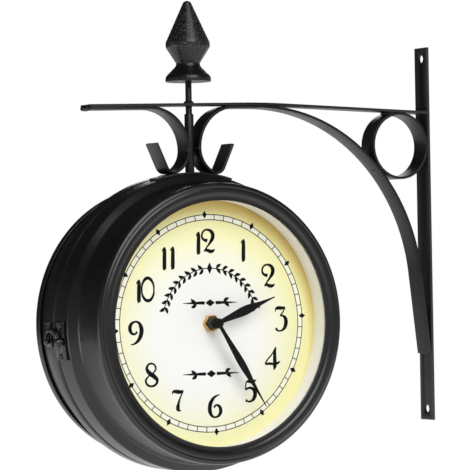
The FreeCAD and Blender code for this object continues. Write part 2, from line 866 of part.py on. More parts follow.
def latch_screw_frames(facing):
    return [LATCH.at(x, y, LATCH_PLATE_TOP) for side, x, y in LATCH_SCREWS if side == facing]


def case_screws(facing):
    grip = s.leaf_thickness + s.sheet
    frames = leaf_screw_frames(facing) + latch_screw_frames(facing)
    return [small_screw(frame, grip) for frame in frames]


def case_holes(facing):
    grip = s.leaf_thickness + s.sheet
    frames = leaf_screw_frames(facing) + latch_screw_frames(facing)
    return [small_screw(frame, grip, hole=True) for frame in frames]


def front_case():
    grip = s.saddle_thickness + s.sheet
    screws = [small_screw(frame, grip, hole=True) for frame in saddle_screw_frames()]
    node("front_case", cut(case_shell(FRONT), rod_hole(), *screws, *case_holes(1)))
    node("front_case_screws", group(*case_screws(1)))


def rear_case():
    stud = cylinder(s.latch_pin_radius - 0.5 + s.rod_play, s.latch_tail * 2,
                    LATCH.at(LATCH_STUD, 0, s.latch_tail * -1.3))
    node("rear_case", cut(case_shell(REAR), stud, *case_holes(-1)))
    node("rear_case_screws", group(*case_screws(-1)))


def drum_cutter():
    """The drum's rolled band, which beds every plate that is screwed on it."""
    return cylinder(FLANGE_RADIUS + SEAT_GAP, s.strap_width * 4,
                    Frame((-s.stem_reach, s.joint_offset - s.strap_width * 2, DRUM_Z), ALONG["Y"]))


def leaf(facing, knuckles):
    """A hinge leaf bedded on the drum, with the knuckles on its own bands."""
    half = s.leaf_height / 2
    low = -s.knuckle_radius - 1
    inner = s.knuckle_radius + 0.5
    outer = s.leaf_width
    spans = [inner * facing, outer * facing]
    first, last = (spans[0], spans[1]) if facing > 0 else (spans[1], spans[0])
    plate = box((first, -half, low), (last, half, LEAF_TOP), HINGE)
    pieces = [plate]
    for start, end in knuckles:
        webs = (0, inner) if facing > 0 else (-inner, 0)
        pieces.append(box((webs[0], start, -s.knuckle_radius), (webs[1], end, LEAF_TOP), HINGE))
        pieces.append(cylinder(s.knuckle_radius, end - start, HINGE.at(0, start, 0, ALONG["Y"])))
    hole = cylinder(s.hinge_pin_radius + s.running_gap, s.leaf_height * 2,
                    HINGE.at(0, -s.leaf_height, 0, ALONG["Y"]))
    screws = [small_screw(frame, s.leaf_thickness, hole=True) for frame in leaf_screw_frames(facing)]
    return cut(fuse(*pieces), hole, drum_cutter(), *screws)


def hinge():
    half = s.leaf_height / 2
    band = s.leaf_height / 6
    gap = 0.15
    node("hinge_front_leaf", leaf(1, ((-half, -band - gap), (band + gap, half))))
    node("hinge_rear_leaf", leaf(-1, ((-band, band),)))
    length = s.leaf_height + 1
    shaft = cylinder(s.hinge_pin_radius, length, HINGE.at(0, length * -0.5, 0, ALONG["Y"]))
    caps = [cylinder(s.hinge_pin_radius + 0.6, 0.8, HINGE.at(0, start, 0, ALONG["Y"]))
            for start in (-half - 0.95, half + 0.15)]
    node("hinge_pin", fuse(shaft, *caps))


LATCH_HOOK_LOW = s.leaf_thickness + s.small_head_height + 0.3
LATCH_HOOK_HIGH = LATCH_HOOK_LOW + s.latch_hook_thickness
LATCH_ARCH = s.latch_pivot - 4.5 - s.latch_hook_radius
LATCH_STUD = LATCH_ARCH - s.latch_hook_radius + s.latch_hook_width / 2 + 0.3 + s.latch_pin_radius


def latch():
    """A hook on the front half that drops over a stud on the swinging half."""
    pin = s.latch_pin_radius
    left = s.latch_pivot - 10.5
    plate = box((left, -s.latch_plate_drop, -1),
                (s.latch_pivot + 4, s.latch_plate_top, LATCH_PLATE_TOP), LATCH)
    holes = [small_screw(frame, s.leaf_thickness, hole=True) for frame in latch_screw_frames(1)]
    post = cylinder(pin, LATCH_HOOK_HIGH + 0.3, LATCH.at(s.latch_pivot, 0, 0))
    knob = cone(pin + 1.7, pin + 1.2, 2.2, LATCH.at(s.latch_pivot, 0, LATCH_HOOK_HIGH + 0.3))
    node("latch_plate", fuse(cut(plate, drum_cutter(), *holes), post, knob))

    outer = s.latch_hook_radius + s.latch_hook_width / 2
    inner = s.latch_hook_radius - s.latch_hook_width / 2
    frame = LATCH.at(LATCH_ARCH, 0, LATCH_HOOK_LOW)
    thick = s.latch_hook_thickness
    arch = cut(cylinder(outer, thick, frame), cylinder(inner, thick, frame),
               box((-outer - 1, -outer - 1, -1), (outer + 1, s.latch_hook_width * -0.5, thick + 1), frame))
    arm = box((inner + 0.3, s.latch_hook_width * -0.5, 0),
              (s.latch_pivot - LATCH_ARCH, s.latch_hook_width / 2, thick), frame)
    eye_frame = LATCH.at(s.latch_pivot, 0, LATCH_HOOK_LOW)
    eye = cylinder(pin + 1.5, thick, eye_frame)
    bore = cylinder(pin + s.running_gap, thick, eye_frame)
    node("latch_hook", cut(fuse(arch, arm, eye), bore))

    rear = -s.rear_flange
    base = box((rear, -s.latch_base_drop, -1),
               (-s.flange_roll - 0.5, s.latch_plate_top, LATCH_PLATE_TOP), LATCH)
    holes = [small_screw(frame, s.leaf_thickness, hole=True) for frame in latch_screw_frames(-1)]
    stud = cylinder(pin, LATCH_HOOK_HIGH + 0.5, LATCH.at(LATCH_STUD, 0, 0))
    tail = cylinder(pin - 0.5, s.latch_tail, LATCH.at(LATCH_STUD, 0, -s.latch_tail))
    head = cone(pin + 0.8, pin + 0.3, 1.0, LATCH.at(LATCH_STUD, 0, LATCH_HOOK_HIGH + 0.5))
    node("latch_stud", fuse(cut(base, drum_cutter(), *holes), stud, tail, head))


# ---- window and dial -------------------------------------------------------------

def window(side):
    lip = s.bezel_radius - s.bezel_lip
    crown = s.bezel_radius - s.bezel_crown
    bezel = turned([
        (SKIRT_RADIUS, -s.bezel_skirt), (s.bezel_radius, -s.bezel_skirt),
        (s.bezel_radius, -s.bezel_bead),
        (s.bezel_radius - s.bezel_bead, 0, s.bezel_bead, 1), (crown, 0),
        (crown - s.bezel_step, -s.bezel_step), (lip, -s.bezel_step), (lip, LIP_BACK),
        (SKIRT_RADIUS, LIP_BACK),
    ])
    side.node("bezel", bezel)
    side.node("glass", ring(0, GLASS_RADIUS, GLASS_BACK, LIP_BACK))
    inner = RIM_RADIUS
    outer = inner + s.rim_sheet
    side.node("glass_seal", ring(outer, GLASS_RADIUS, SEAL_BACK, GLASS_BACK))
    dial_front = -s.dial_recess
    rim = turned([
        (inner, SEAL_BACK), (inner, dial_front), (DIAL_RADIUS, dial_front),
        (DIAL_RADIUS, dial_front + s.rim_sheet), (outer, dial_front + s.rim_sheet),
        (outer, MOUTH), (MOUTH_RADIUS, MOUTH), (MOUTH_RADIUS, SEAL_BACK),
    ])
    side.node("rim", rim)
    hole = s.stub_radius + s.rod_play
    side.node("dial", ring(hole, DIAL_RADIUS, dial_front - s.dial_thickness, dial_front))


# ---- movement ----------------------------------------------------------------------

DIAL_BACK = -s.dial_recess - s.dial_thickness
SHELL_FRONT = DIAL_BACK - s.pad_thickness
FLOOR = SHELL_FRONT - s.movement_wall
SHELL_BACK = SHELL_FRONT - s.movement_depth
COVER_BACK = SHELL_BACK - s.movement_wall
CELL_ROOM = s.cell_length + s.cell_button + s.spring_length + s.contact_thickness * 2
HALF_WIDTH = CELL_ROOM / 2 + s.movement_wall
BAY_TOP = (s.cell_radius + s.cell_play) * 2 - HALF_WIDTH + s.movement_wall
BOARD_TOP = HALF_WIDTH - s.movement_wall - 0.5
BOARD_LOW = BOARD_TOP - s.board_height
BOARD_FRONT = FLOOR - s.board_depth
HOUR_LOW = FLOOR - 0.3 - s.wheel_thickness
REVERSER_LOW = HOUR_LOW - 0.3 - s.wheel_thickness


def movement_shell(side):
    wall = s.movement_wall
    half = HALF_WIDTH
    case = box((-half, -half, SHELL_BACK), (half, half, SHELL_FRONT))
    gear_bay = box((wall - half, BAY_TOP + wall, SHELL_BACK - 1), (half - wall, half - wall, FLOOR))
    cell_bay = box((wall - half, wall - half, SHELL_BACK - 1), (half - wall, BAY_TOP, FLOOR))
    stub = cylinder(s.stub_radius, s.pad_thickness + s.dial_thickness + s.stub_rise + 0.5,
                    WORLD.at(0, 0, SHELL_FRONT - 0.5))
    post_length = s.wheel_thickness * 2 + 1.1
    post = cylinder(s.post_radius, post_length + 0.5, WORLD.at(s.wheel_distance, 0, FLOOR - post_length))
    boss = s.boss_radius
    bosses = [cylinder(boss, s.board_depth + 0.5, WORLD.at(half * x, y, BOARD_FRONT))
              for x in (-0.75, 0.75) for y in (BOARD_LOW + boss * 1.25, BOARD_TOP - boss * 1.5)]
    bore = cylinder(s.pipe_radius + s.running_gap, s.movement_depth + s.stub_rise + 10,
                    WORLD.at(0, 0, SHELL_BACK))
    shell = cut(fuse(cut(case, gear_bay, cell_bay), stub, post, *bosses), bore)
    side.node("movement_case", shell)

    plate = box((-half, BAY_TOP, COVER_BACK), (half, half, SHELL_BACK))
    hole = cylinder(s.arbor_radius + s.running_gap, wall * 2, WORLD.at(0, 0, COVER_BACK - wall / 2))
    side.node("movement_cover", cut(plate, hole))
    side.node("dial_washer", ring(s.stub_radius + s.rod_play, s.pad_radius, SHELL_FRONT, DIAL_BACK))
    nut_frame = WORLD.at(0, 0, -s.dial_recess)
    nut = cut(hexagon(s.fixing_nut_radius, s.fixing_nut_height, nut_frame),
              cylinder(s.stub_radius + HUB_GAP, s.fixing_nut_height, nut_frame))
    side.node("fixing_nut", nut)


def movement_electrics(side):
    """Cell, spring contacts, and the board with its coil and chip."""
    wall = s.movement_wall
    half = HALF_WIDTH
    axis_y = (wall - half + BAY_TOP) / 2
    axis_z = FLOOR - 0.2 - s.cell_radius
    contact = s.contact_thickness
    reach = s.contact_size / 2
    left = wall - half
    right = half - wall - contact
    can_start = left + contact + s.spring_length
    can = cylinder(s.cell_radius, s.cell_length, WORLD.at(can_start, axis_y, axis_z, ALONG["X"]))
    button = cylinder(s.cell_button_radius, s.cell_button,
                      WORLD.at(right - s.cell_button, axis_y, axis_z, ALONG["X"]))
    side.node("battery", fuse(can, button))
    plates = [box((start, axis_y - reach, axis_z - reach), (start + contact, axis_y + reach, axis_z + reach))
              for start in (left, right)]
    spring = cone(reach * 0.8, reach * 0.5, s.spring_length,
                  WORLD.at(left + contact, axis_y, axis_z, ALONG["X"]))
    side.node("battery_contacts", group(fuse(plates[0], spring), plates[1]))

    back = BOARD_FRONT - s.board_thickness
    edge = half - wall - 1
    board = box((-edge, BOARD_LOW, back), (edge, BOARD_TOP, BOARD_FRONT))
    middle = (BOARD_LOW + BOARD_TOP) / 2
    chip_left = s.chip_width - edge
    chip = box((chip_left, middle - s.chip_width * 0.4, back - s.chip_thickness),
               (chip_left + s.chip_width, middle + s.chip_width * 0.4, back))
    cheek = s.coil_radius + 0.5
    coil_z = back - cheek
    coil_start = chip_left + s.chip_width * 1.8
    coil = cylinder(s.coil_radius, s.coil_length, WORLD.at(coil_start, middle, coil_z, ALONG["X"]))
    cheeks = [box((start, middle - cheek, coil_z - cheek), (start + 1, middle + cheek, back))
              for start in (coil_start - 1, coil_start + s.coil_length)]
    side.node("circuit_board", fuse(board, chip, coil, *cheeks))


def movement_train(side):
    """The motion work: arbor, reversing wheel and hour wheel, all in mesh."""
    distance = s.wheel_distance
    cannon = distance * (PINION_TEETH / (PINION_TEETH + REVERSER_TEETH))
    hour_pitch = distance * (HOUR_TEETH / (HOUR_TEETH + PINION_TEETH))
    thick = s.wheel_thickness
    tip = s.minute_hand_rise + s.hand_thickness + 1.4 - s.dial_recess
    knob_low = COVER_BACK - 0.3 - s.knob_height
    radius = s.arbor_radius

    arbor = turned([(0, knob_low), (radius, knob_low), (radius, tip), (0, tip)])
    pinion = toothed(PINION_TEETH, cannon, radius, REVERSER_LOW, thick, 0)
    side.node("minute_arbor", fuse(arbor, pinion))

    bore = s.post_radius + s.running_gap
    gap_angle = 180 + 180 / REVERSER_TEETH
    plate = toothed(REVERSER_TEETH, distance - cannon, bore, REVERSER_LOW, thick, gap_angle)
    pinion_angle = 180 + 180 / PINION_TEETH
    pinion = toothed(PINION_TEETH, distance - hour_pitch, bore, REVERSER_LOW + thick,
                     thick + 0.3, pinion_angle)
    frame = side.face.at(distance, 0, 0)
    node(f"{side.name}_reversing_wheel", frame.put(fuse(plate, pinion)))

    bore = radius + s.running_gap
    wheel = toothed(HOUR_TEETH, hour_pitch, bore, HOUR_LOW, thick, 0)
    pipe = ring(bore, s.pipe_radius, HOUR_LOW, s.hour_hand_rise + s.hand_thickness + 0.2 - s.dial_recess)
    side.node("hour_wheel", fuse(wheel, pipe))

    knob = cylinder(s.knob_radius, s.knob_height, WORLD.at(0, 0, knob_low))
    bore = cylinder(radius + HUB_GAP, s.knob_height, WORLD.at(0, 0, knob_low))
    flutes = [cylinder(0.9, s.knob_height, WORLD.at(
        (s.knob_radius + 0.3) * math.cos(math.radians(angle)),
        (s.knob_radius + 0.3) * math.sin(math.radians(angle)), knob_low))
        for angle in range(0, 360, 30)]
    side.node("set_knob", cut(knob, bore, *flutes))


# ---- hands -------------------------------------------------------------------------

def leaf_hand(length, low, hole, collar_low):
    """A flat leaf-shaped hand that points up, with its hub and collar."""
    body = new_body("hand")
    neck = s.hand_hub * 0.42
    leaf_half = s.hand_leaf
    stem = s.hand_stem
    right = [
        (neck, 0), (leaf_half * 0.96, length * 0.44), (leaf_half * 0.9, length * 0.56, leaf_half * 3, 1),
        (stem, length * 0.76), (stem * 0.4, length),
    ]
    left = [(leaf_half * -0.96, length * 0.44, leaf_half * 3, 1), (-neck, 0)]
    tip = [(stem * -0.4, length), (-stem, length * 0.76), (leaf_half * -0.9, length * 0.56)]
    corners = right + tip + left
    pad(body, outline(body, "XY_Plane", [(as_size(c[0]), *c[1:]) for c in corners], low), s.hand_thickness)
    disc(body, s.hand_hub, collar_low, low + s.hand_thickness - collar_low)
    bore = cylinder(hole + HUB_GAP, 8, WORLD.at(0, 0, low - 4))
    return cut(body, bore)


def hands(side):
    dial_front = -s.dial_recess
    hour_low = dial_front + s.hour_hand_rise
    minute_low = dial_front + s.minute_hand_rise
    hour = leaf_hand(s.hour_hand_length, hour_low, s.pipe_radius, hour_low - 1.2)
    side.node("hour_hand", hour, -s.hour_angle.value)
    minute = leaf_hand(s.minute_hand_length, minute_low, s.arbor_radius, minute_low - 0.9)
    side.node("minute_hand", minute, -s.minute_angle.value)
    nut_low = minute_low + s.hand_thickness
    nut_top = nut_low + s.hand_nut_height
    hole = s.arbor_radius + HUB_GAP
    blind = nut_top - 0.8
    flat = s.hand_hub * 0.57
    nut = turned([(0, blind), (hole, blind), (hole, nut_low), (s.hand_hub - 0.4, nut_low),
                  (s.hand_hub - 0.4, nut_low + 1.2), (flat, nut_top, 2.0, 1), (0, nut_top)])
    side.node("hand_nut", nut)


# ---- the whole clock -----------------------------------------------------------------

def build():
    wall_bar()
    arm_bar()
    bracket_ring()
    left_scroll()
    brace_scroll()
    weld_beads()
    foot_saddle()
    foot_screws()
    hanger_rod()
    stem_sleeve()
    finial()
    rod_nuts()
    front_case()
    rear_case()
    hinge()
    latch()
    for side in (FRONT, REAR):
        window(side)
        movement_shell(side)
        movement_electrics(side)
        movement_train(side)
        hands(side)


def check():
    """Stop if any object failed to build or any sub-part has a bad shape."""
    doc.recompute()
    for item in doc.Objects:
        faults = {"Invalid", "Error"} & set(item.State)
        if faults:
            raise SystemExit(f"{item.Name} ({item.Label}) is {', '.join(sorted(faults))}")
    for name, piece in parts.items():
        if piece.Shape.isNull() or not piece.Shape.isValid() or not piece.Shape.Solids:
            raise SystemExit(f"{name} has no valid shape")


def write():
    os.makedirs("parts", exist_ok=True)
    for name, piece in parts.items():
        piece.Shape.exportStep(f"parts/{name}.step")
    print(f"{len(parts)} sub-parts written")


build()
check()
write()
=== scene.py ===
"""Looks of the double sided station clock: meshes, finishes, light and camera.

Lengths are millimetres in the row frame (+X into the wall, front dial towards -Y, +Z up)
unless a name says otherwise. Meshes are turned to metres when a piece is finished.
"""

from __future__ import annotations

import json
import logging
import math
from dataclasses import dataclass
from enum import Enum
from typing import Any, ClassVar, Iterable, Sequence

import bmesh
import bpy
from mathutils import Matrix, Vector, noise

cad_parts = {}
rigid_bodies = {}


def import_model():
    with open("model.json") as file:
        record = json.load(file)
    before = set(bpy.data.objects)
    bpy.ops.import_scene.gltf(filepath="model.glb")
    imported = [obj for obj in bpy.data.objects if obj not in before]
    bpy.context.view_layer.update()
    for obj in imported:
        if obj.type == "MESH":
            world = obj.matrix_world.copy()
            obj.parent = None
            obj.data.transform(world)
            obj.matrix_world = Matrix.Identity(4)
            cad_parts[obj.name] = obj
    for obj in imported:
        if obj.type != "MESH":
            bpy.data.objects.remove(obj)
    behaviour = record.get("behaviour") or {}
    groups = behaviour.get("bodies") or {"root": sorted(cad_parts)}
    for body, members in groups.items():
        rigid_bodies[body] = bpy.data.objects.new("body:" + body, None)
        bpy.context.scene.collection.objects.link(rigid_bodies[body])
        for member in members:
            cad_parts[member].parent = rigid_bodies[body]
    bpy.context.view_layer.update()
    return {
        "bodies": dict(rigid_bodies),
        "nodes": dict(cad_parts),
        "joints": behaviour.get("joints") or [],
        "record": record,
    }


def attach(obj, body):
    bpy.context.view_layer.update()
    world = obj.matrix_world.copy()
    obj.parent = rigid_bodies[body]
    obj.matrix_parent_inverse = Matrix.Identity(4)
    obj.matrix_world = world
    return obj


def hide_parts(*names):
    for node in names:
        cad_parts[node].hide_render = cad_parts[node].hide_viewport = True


log = logging.getLogger("station_clock")

Tree = bpy.types.NodeTree
Socket = bpy.types.NodeSocket
Mesh = bmesh.types.BMesh

MM = 0.001
FULL = 2 * math.pi
TINY = 1e-4


# ---- colours and nodes -------------------------------------------------------------

def linear(code: str) -> tuple[float, float, float, float]:
    """Turn an sRGB hex value into the linear colour that a shader takes.

    Args:
        code: Six hex digits.

    Returns:
        Red, green, blue and an alpha of 1.
    """
    parts = [int(code[at:at + 2], 16) / 255 for at in (0, 2, 4)]
    red, green, blue = (p / 12.92 if p <= 0.04045 else ((p + 0.055) / 1.055) ** 2.4 for p in parts)
    return red, green, blue, 1.0


def add(tree: Tree, kind: str, inputs: dict[Any, Any] | None = None,
        **settings: Any) -> bpy.types.Node:
    """Add a node with its settings and its links.

    Args:
        tree: The node tree.
        kind: The node's type without its ShaderNode prefix.
        inputs: Socket name or index to a value, or to the socket that feeds it.
        settings: Attributes of the node itself.

    Returns:
        The new node.
    """
    node = tree.nodes.new("ShaderNode" + kind)
    for name, value in settings.items():
        setattr(node, name, value)
    for key, value in (inputs or {}).items():
        if isinstance(value, Socket):
            tree.links.new(value, node.inputs[key])
        else:
            node.inputs[key].default_value = value
    return node


def grain(size_mm: float) -> float:
    """Noise scale whose features are about size_mm wide in object coordinates."""
    return 1.0 / (size_mm * MM)


def ramp(tree: Tree, factor: Socket,
         stops: Sequence[tuple[float, str]]) -> Socket:
    """Colour stops along a factor.

    Args:
        tree: The node tree.
        factor: What runs from 0 to 1.
        stops: Position and sRGB hex value of each stop.

    Returns:
        The colour socket.
    """
    node = add(tree, "ValToRGB", {0: factor})
    band = node.color_ramp
    while len(band.elements) < len(stops):
        band.elements.new(1.0)
    for element, (position, code) in zip(band.elements, stops):
        element.position = position
        element.color = linear(code)
    return node.outputs["Color"]


def remap(tree: Tree, value: Any, span: tuple[float, float], low: Any,
          high: Any) -> Socket:
    """Carry a value over its span to the range from low to high, and hold it there."""
    return add(tree, "MapRange", {0: value, 1: span[0], 2: span[1], 3: low, 4: high}).outputs[0]


def mottle(tree: Tree, where: Socket, size_mm: float, detail: float,
           roughness: float = 0.5) -> Socket:
    """Noise from 0 to 1 whose features are about size_mm wide."""
    return add(tree, "TexNoise", {"Vector": where, "Scale": grain(size_mm), "Detail": detail,
                                  "Roughness": roughness}).outputs["Fac"]


def blend(tree: Tree, share: Any, first: Any, second: Any) -> Socket:
    """Mix two colours, each a socket or an sRGB hex value."""
    ends = [linear(colour) if isinstance(colour, str) else colour for colour in (first, second)]
    return add(tree, "Mix", {0: share, 6: ends[0], 7: ends[1]}, data_type="RGBA").outputs[2]


def combined(tree: Tree, operation: str, first: Any, second: Any) -> Socket:
    """Two values under a Math node's operation."""
    return add(tree, "Math", {0: first, 1: second}, operation=operation).outputs[0]


def bumped(tree: Tree, height: Any, depth_mm: float,
           strength: float = 1.0) -> Socket:
    """The surface's normal, tipped by a relief of the given depth."""
    return add(tree, "Bump", {"Height": height, "Strength": strength,
                              "Distance": depth_mm * MM}).outputs[0]


# ---- finishes -------------------------------------------------------------------------

@dataclass(frozen=True)
class Finish:
    """A surface of one kind, named for what it is made of and how."""

    name: str
    slot: str

    def material(self) -> bpy.types.Material:
        """Return this finish's material, built once."""
        found = bpy.data.materials.get(self.name)
        if found:
            return found
        made = bpy.data.materials.new(self.name)
        made.use_nodes = True
        made.node_tree.nodes.clear()
        shader = self.shade(made.node_tree)
        add(made.node_tree, "OutputMaterial", {"Surface": shader})
        return made

    def shade(self, tree: Tree) -> Socket:
        """Build the shader and return its socket."""
        raise NotImplementedError

    def coordinates(self, tree: Tree) -> Socket:
        """Object coordinates, in metres."""
        return add(tree, "TexCoord").outputs["Object"]


@dataclass(frozen=True)
class Coating(Finish):
    """Paint, powder coat, lacquer or moulded plastic with a fine skin of its own."""

    colour: str
    dust: str
    dust_share: float
    patch_mm: float
    skin_mm: float
    skin_depth_mm: float
    rough: tuple[float, float]
    specular: float
    coat: float = 0.0
    worn: str = ""

    def shade(self, tree: Tree) -> Socket:
        """Mottled colour and roughness over an uneven skin, lighter on sharp edges as wear and as a painted
        highlight.
        """
        where = self.coordinates(tree)
        patch = mottle(tree, where, self.patch_mm, 5.0, 0.6)
        colour = blend(tree, remap(tree, patch, (0.35, 0.7), 0.0, self.dust_share), self.colour, self.dust)
        if self.worn:
            # Sharp edges are lightened: partly wear, partly a painted highlight of the edge lines.
            edge = add(tree, "NewGeometry").outputs["Pointiness"]
            colour = blend(tree, remap(tree, edge, (0.53, 0.62), 0.0, 0.55), colour, self.worn)
        skin = mottle(tree, where, self.skin_mm, 3.0)
        return add(tree, "BsdfPrincipled", {
            "Base Color": colour, "Roughness": remap(tree, patch, (0.3, 0.7), *self.rough),
            "Normal": bumped(tree, skin, self.skin_depth_mm), "IOR": 1.5,
            "Specular IOR Level": self.specular, "Coat Weight": self.coat,
            "Coat Roughness": 0.12}).outputs[0]


@dataclass(frozen=True)
class Hammered(Finish):
    """Gloss black with metal flake, which lies on the upper part where it was sprayed."""

    colour: str = "0A0A0B"
    flake: str = "666668"
    fleck_mm: float = 0.85
    clear_below_mm: float = 128.0
    full_above_mm: float = 140.0
    rough: tuple[float, float] = (0.16, 0.26)
    drift_mm: float = 4.0
    drift_share: float = 0.8
    relief_mm: float = 0.09

    def shade(self, tree: Tree) -> Socket:
        """Bright flecks in drifts over a dark coat."""
        where = self.coordinates(tree)
        height = add(tree, "SeparateXYZ", {0: where}).outputs["Z"]
        cover = remap(tree, height, (self.clear_below_mm * MM, self.full_above_mm * MM), 0.0, 1.0)
        cell = add(tree, "TexVoronoi", {"Vector": where, "Scale": grain(self.fleck_mm)}).outputs["Distance"]
        fleck = remap(tree, cell, (0.22, 0.45), 1.0, 0.0)
        drift = remap(tree, mottle(tree, where, self.drift_mm, 3.0), (0.3, 0.6), 0.0, self.drift_share)
        share = combined(tree, "MULTIPLY", combined(tree, "MULTIPLY", fleck, drift), cover)
        return add(tree, "BsdfPrincipled", {
            "Base Color": blend(tree, share, self.colour, self.flake),
            "Roughness": remap(tree, drift, (0.0, self.drift_share), *self.rough),
            "Normal": bumped(tree, fleck, self.relief_mm), "Metallic": share,
            "Specular IOR Level": 0.42, "IOR": 1.5}).outputs[0]


@dataclass(frozen=True)
class Metal(Finish):
    """Bare or plated metal with the fine scratches of how it was worked."""

    colour: str
    dull: str
    rough: tuple[float, float]
    scratch_mm: float
    stretch: tuple[float, float, float]

    def shade(self, tree: Tree) -> Socket:
        """Metal whose colour and gloss vary along drawn-out scratches."""
        where = self.coordinates(tree)
        drawn = add(tree, "Mapping", {"Vector": where, "Scale": self.stretch}).outputs[0]
        lines = mottle(tree, drawn, self.scratch_mm * 8, 6.0)
        colour = blend(tree, remap(tree, lines, (0.35, 0.7), 0.0, 1.0), self.colour, self.dull)
        return add(tree, "BsdfPrincipled", {
            "Base Color": colour, "Roughness": remap(tree, lines, (0.3, 0.7), *self.rough),
            "Normal": bumped(tree, lines, 0.02, 0.6), "Metallic": 1.0}).outputs[0]


@dataclass(frozen=True)
class DialEnamel(Finish):
    """Cream dial printed white at its middle to yellow at its edge, with a painted shadow of the bezel as
    deeper gold on the upper right of its edge.
    """

    # The gradient's middle sits below and beside the hands' axis and the last stops are a deep gold:
    # together they paint the bezel's shadow on the upper right of each face's dial edge.
    centre: tuple[float, float] = (-211.4, -71.5)
    radius: float = 100.0
    stops: tuple[tuple[float, str], ...] = (
        (0.0, "FFFFFE"), (0.42, "FFFFFB"), (0.6, "FFFEE4"), (0.74, "FDFBC4"), (0.86, "FCF6B4"),
        (0.93, "EDD680"), (1.0, "BC933C"))
    waver_mm: float = 1.5

    def shade(self, tree: Tree) -> Socket:
        """Colour by distance from an off-axis middle, which paints the bezel's shadow, with a faint mottle
        of the print.
        """
        where = self.coordinates(tree)
        shift = (-self.centre[0] * MM, 0.0, -self.centre[1] * MM)
        flat = add(tree, "Mapping", {"Vector": where, "Location": shift, "Scale": (1.0, 0.0, 1.0)})
        away = add(tree, "VectorMath", {0: flat.outputs[0]}, operation="LENGTH").outputs["Value"]
        cloud = mottle(tree, where, 14.0, 4.0)
        waver = self.waver_mm * MM
        away = combined(tree, "ADD", away, remap(tree, cloud, (0.0, 1.0), -waver, waver))
        share = remap(tree, away, (0.0, self.radius * MM), 0.0, 1.0)
        skin = mottle(tree, where, 1.2, 2.0)
        return add(tree, "BsdfPrincipled", {
            "Base Color": ramp(tree, share, self.stops),
            "Roughness": remap(tree, cloud, (0.3, 0.7), 0.42, 0.52),
            "Normal": bumped(tree, skin, 0.01, 0.4), "IOR": 1.5}).outputs[0]


@dataclass(frozen=True)
class Pane(Finish):
    """Clear float glass, thin enough that it only adds a gloss to what is behind it."""

    tint: str = "161A18"
    cover: float = 0.06

    def shade(self, tree: Tree) -> Socket:
        """A nearly clear surface with the faint unevenness of a handled pane."""
        where = self.coordinates(tree)
        rough = remap(tree, mottle(tree, where, 40.0, 3.0), (0.3, 0.7), 0.01, 0.05)
        return add(tree, "BsdfPrincipled", {"Base Color": linear(self.tint), "Roughness": rough,
                                            "IOR": 1.5, "Alpha": self.cover}).outputs[0]


# Powder coat on strap steel: satin, a little uneven, with grey on its edges that is partly rubbed wear and
# partly a painted highlight.
POWDER = Coating("powder_coated_strap_steel", "bracket_powder_coat", "090909", "121111", 0.6, 25.0,
                 1.6, 0.03, (0.3, 0.44), 0.3, 0.0, "484849")
# The same coat on the drum's thin sheet: smoother, with broad soft reflections.
CASE_COAT = Coating("powder_coated_sheet_steel", "case_powder_coat", "0C0A09", "131110", 0.6, 45.0,
                    1.8, 0.02, (0.22, 0.32), 0.45)
# Brushed-on black over small fittings: patchier, grey on its corners, partly as wear and partly as a
# painted highlight.
FITTING = Coating("painted_steel_fittings", "painted_hardware", "070707", "100F0F", 0.7, 8.0,
                  1.2, 0.03, (0.2, 0.34), 0.6, 0.0, "3C3C3C")
# Baked enamel on the spun bezel: glossier than the drum.
BEZEL = Coating("baked_enamel_spun_steel", "bezel_enamel", "0D0C0C", "141313", 0.5, 60.0,
                2.5, 0.012, (0.24, 0.32), 0.5)
# Black nitrocellulose on the stamped hands: nearly matt.
HAND = Coating("lacquered_brass_hands", "hand_paint", "070707", "0E0D0D", 0.5, 10.0,
               0.9, 0.01, (0.45, 0.6), 0.15)
# Screen printed ink: dense, matt, a little thin in places.
INK = Coating("screen_print_black_ink", "dial_enamel", "060607", "101010", 0.5, 6.0,
              0.6, 0.006, (0.55, 0.7), 0.12)
WHITE_INK = Coating("screen_print_white_ink", "dial_enamel", "FFFEEE", "FDFBE4", 0.5, 12.0,
                    0.8, 0.006, (0.5, 0.6), 0.4)
# Cream-white stove paint on the inner wall between dial and glass.
RIM = Coating("stoved_white_rim_paint", "rim_paint", "FEFDFA", "F8F6EE", 0.6, 30.0,
              1.6, 0.015, (0.35, 0.48), 0.5)
PRIMER = Coating("grey_primed_sheet_steel", "dial_enamel", "A9A9A5", "9A9A97", 0.7, 22.0,
                 1.2, 0.015, (0.45, 0.6), 0.4)
RUBBER = Coating("moulded_rubber", "seal_rubber", "161616", "222222", 0.7, 9.0,
                 0.8, 0.03, (0.7, 0.85), 0.3)
# Moulded polystyrene: fine spark-eroded grain.
PLASTIC = Coating("moulded_polystyrene", "movement_plastic", "18181A", "212123", 0.4, 20.0,
                  0.7, 0.03, (0.42, 0.55), 0.5)
ACETAL = Coating("moulded_acetal", "gear_plastic", "E4E2DA", "D8D5CA", 0.6, 6.0,
                 0.5, 0.01, (0.35, 0.45), 0.5)
JACKET = Coating("shrunk_cell_jacket", "cell_label", "8E9196", "7C8086", 0.7, 14.0,
                 1.0, 0.015, (0.25, 0.35), 0.5, 0.3)
BOARD = Coating("solder_masked_board", "board_laminate", "1E5A34", "17492A", 0.8, 4.0,
                0.8, 0.02, (0.3, 0.42), 0.5, 0.2)
HAMMER = Hammered("metal_flake_paint", "hammered_paint")
ZINC = Metal("zinc_plated_steel", "zinc_steel", "C9C9C6", "A3A4A2", (0.2, 0.36), 0.3, (1.0, 6.0, 1.0))
BRASS = Metal("turned_brass_bar", "turned_brass", "D9B368", "B88F45", (0.2, 0.34), 0.3, (1.0, 8.0, 1.0))
NICKEL = Metal("nickel_plated_spring_strip", "nickel_strip", "CFCCC4", "AFACA3", (0.18, 0.3), 0.3,
               (6.0, 1.0, 1.0))
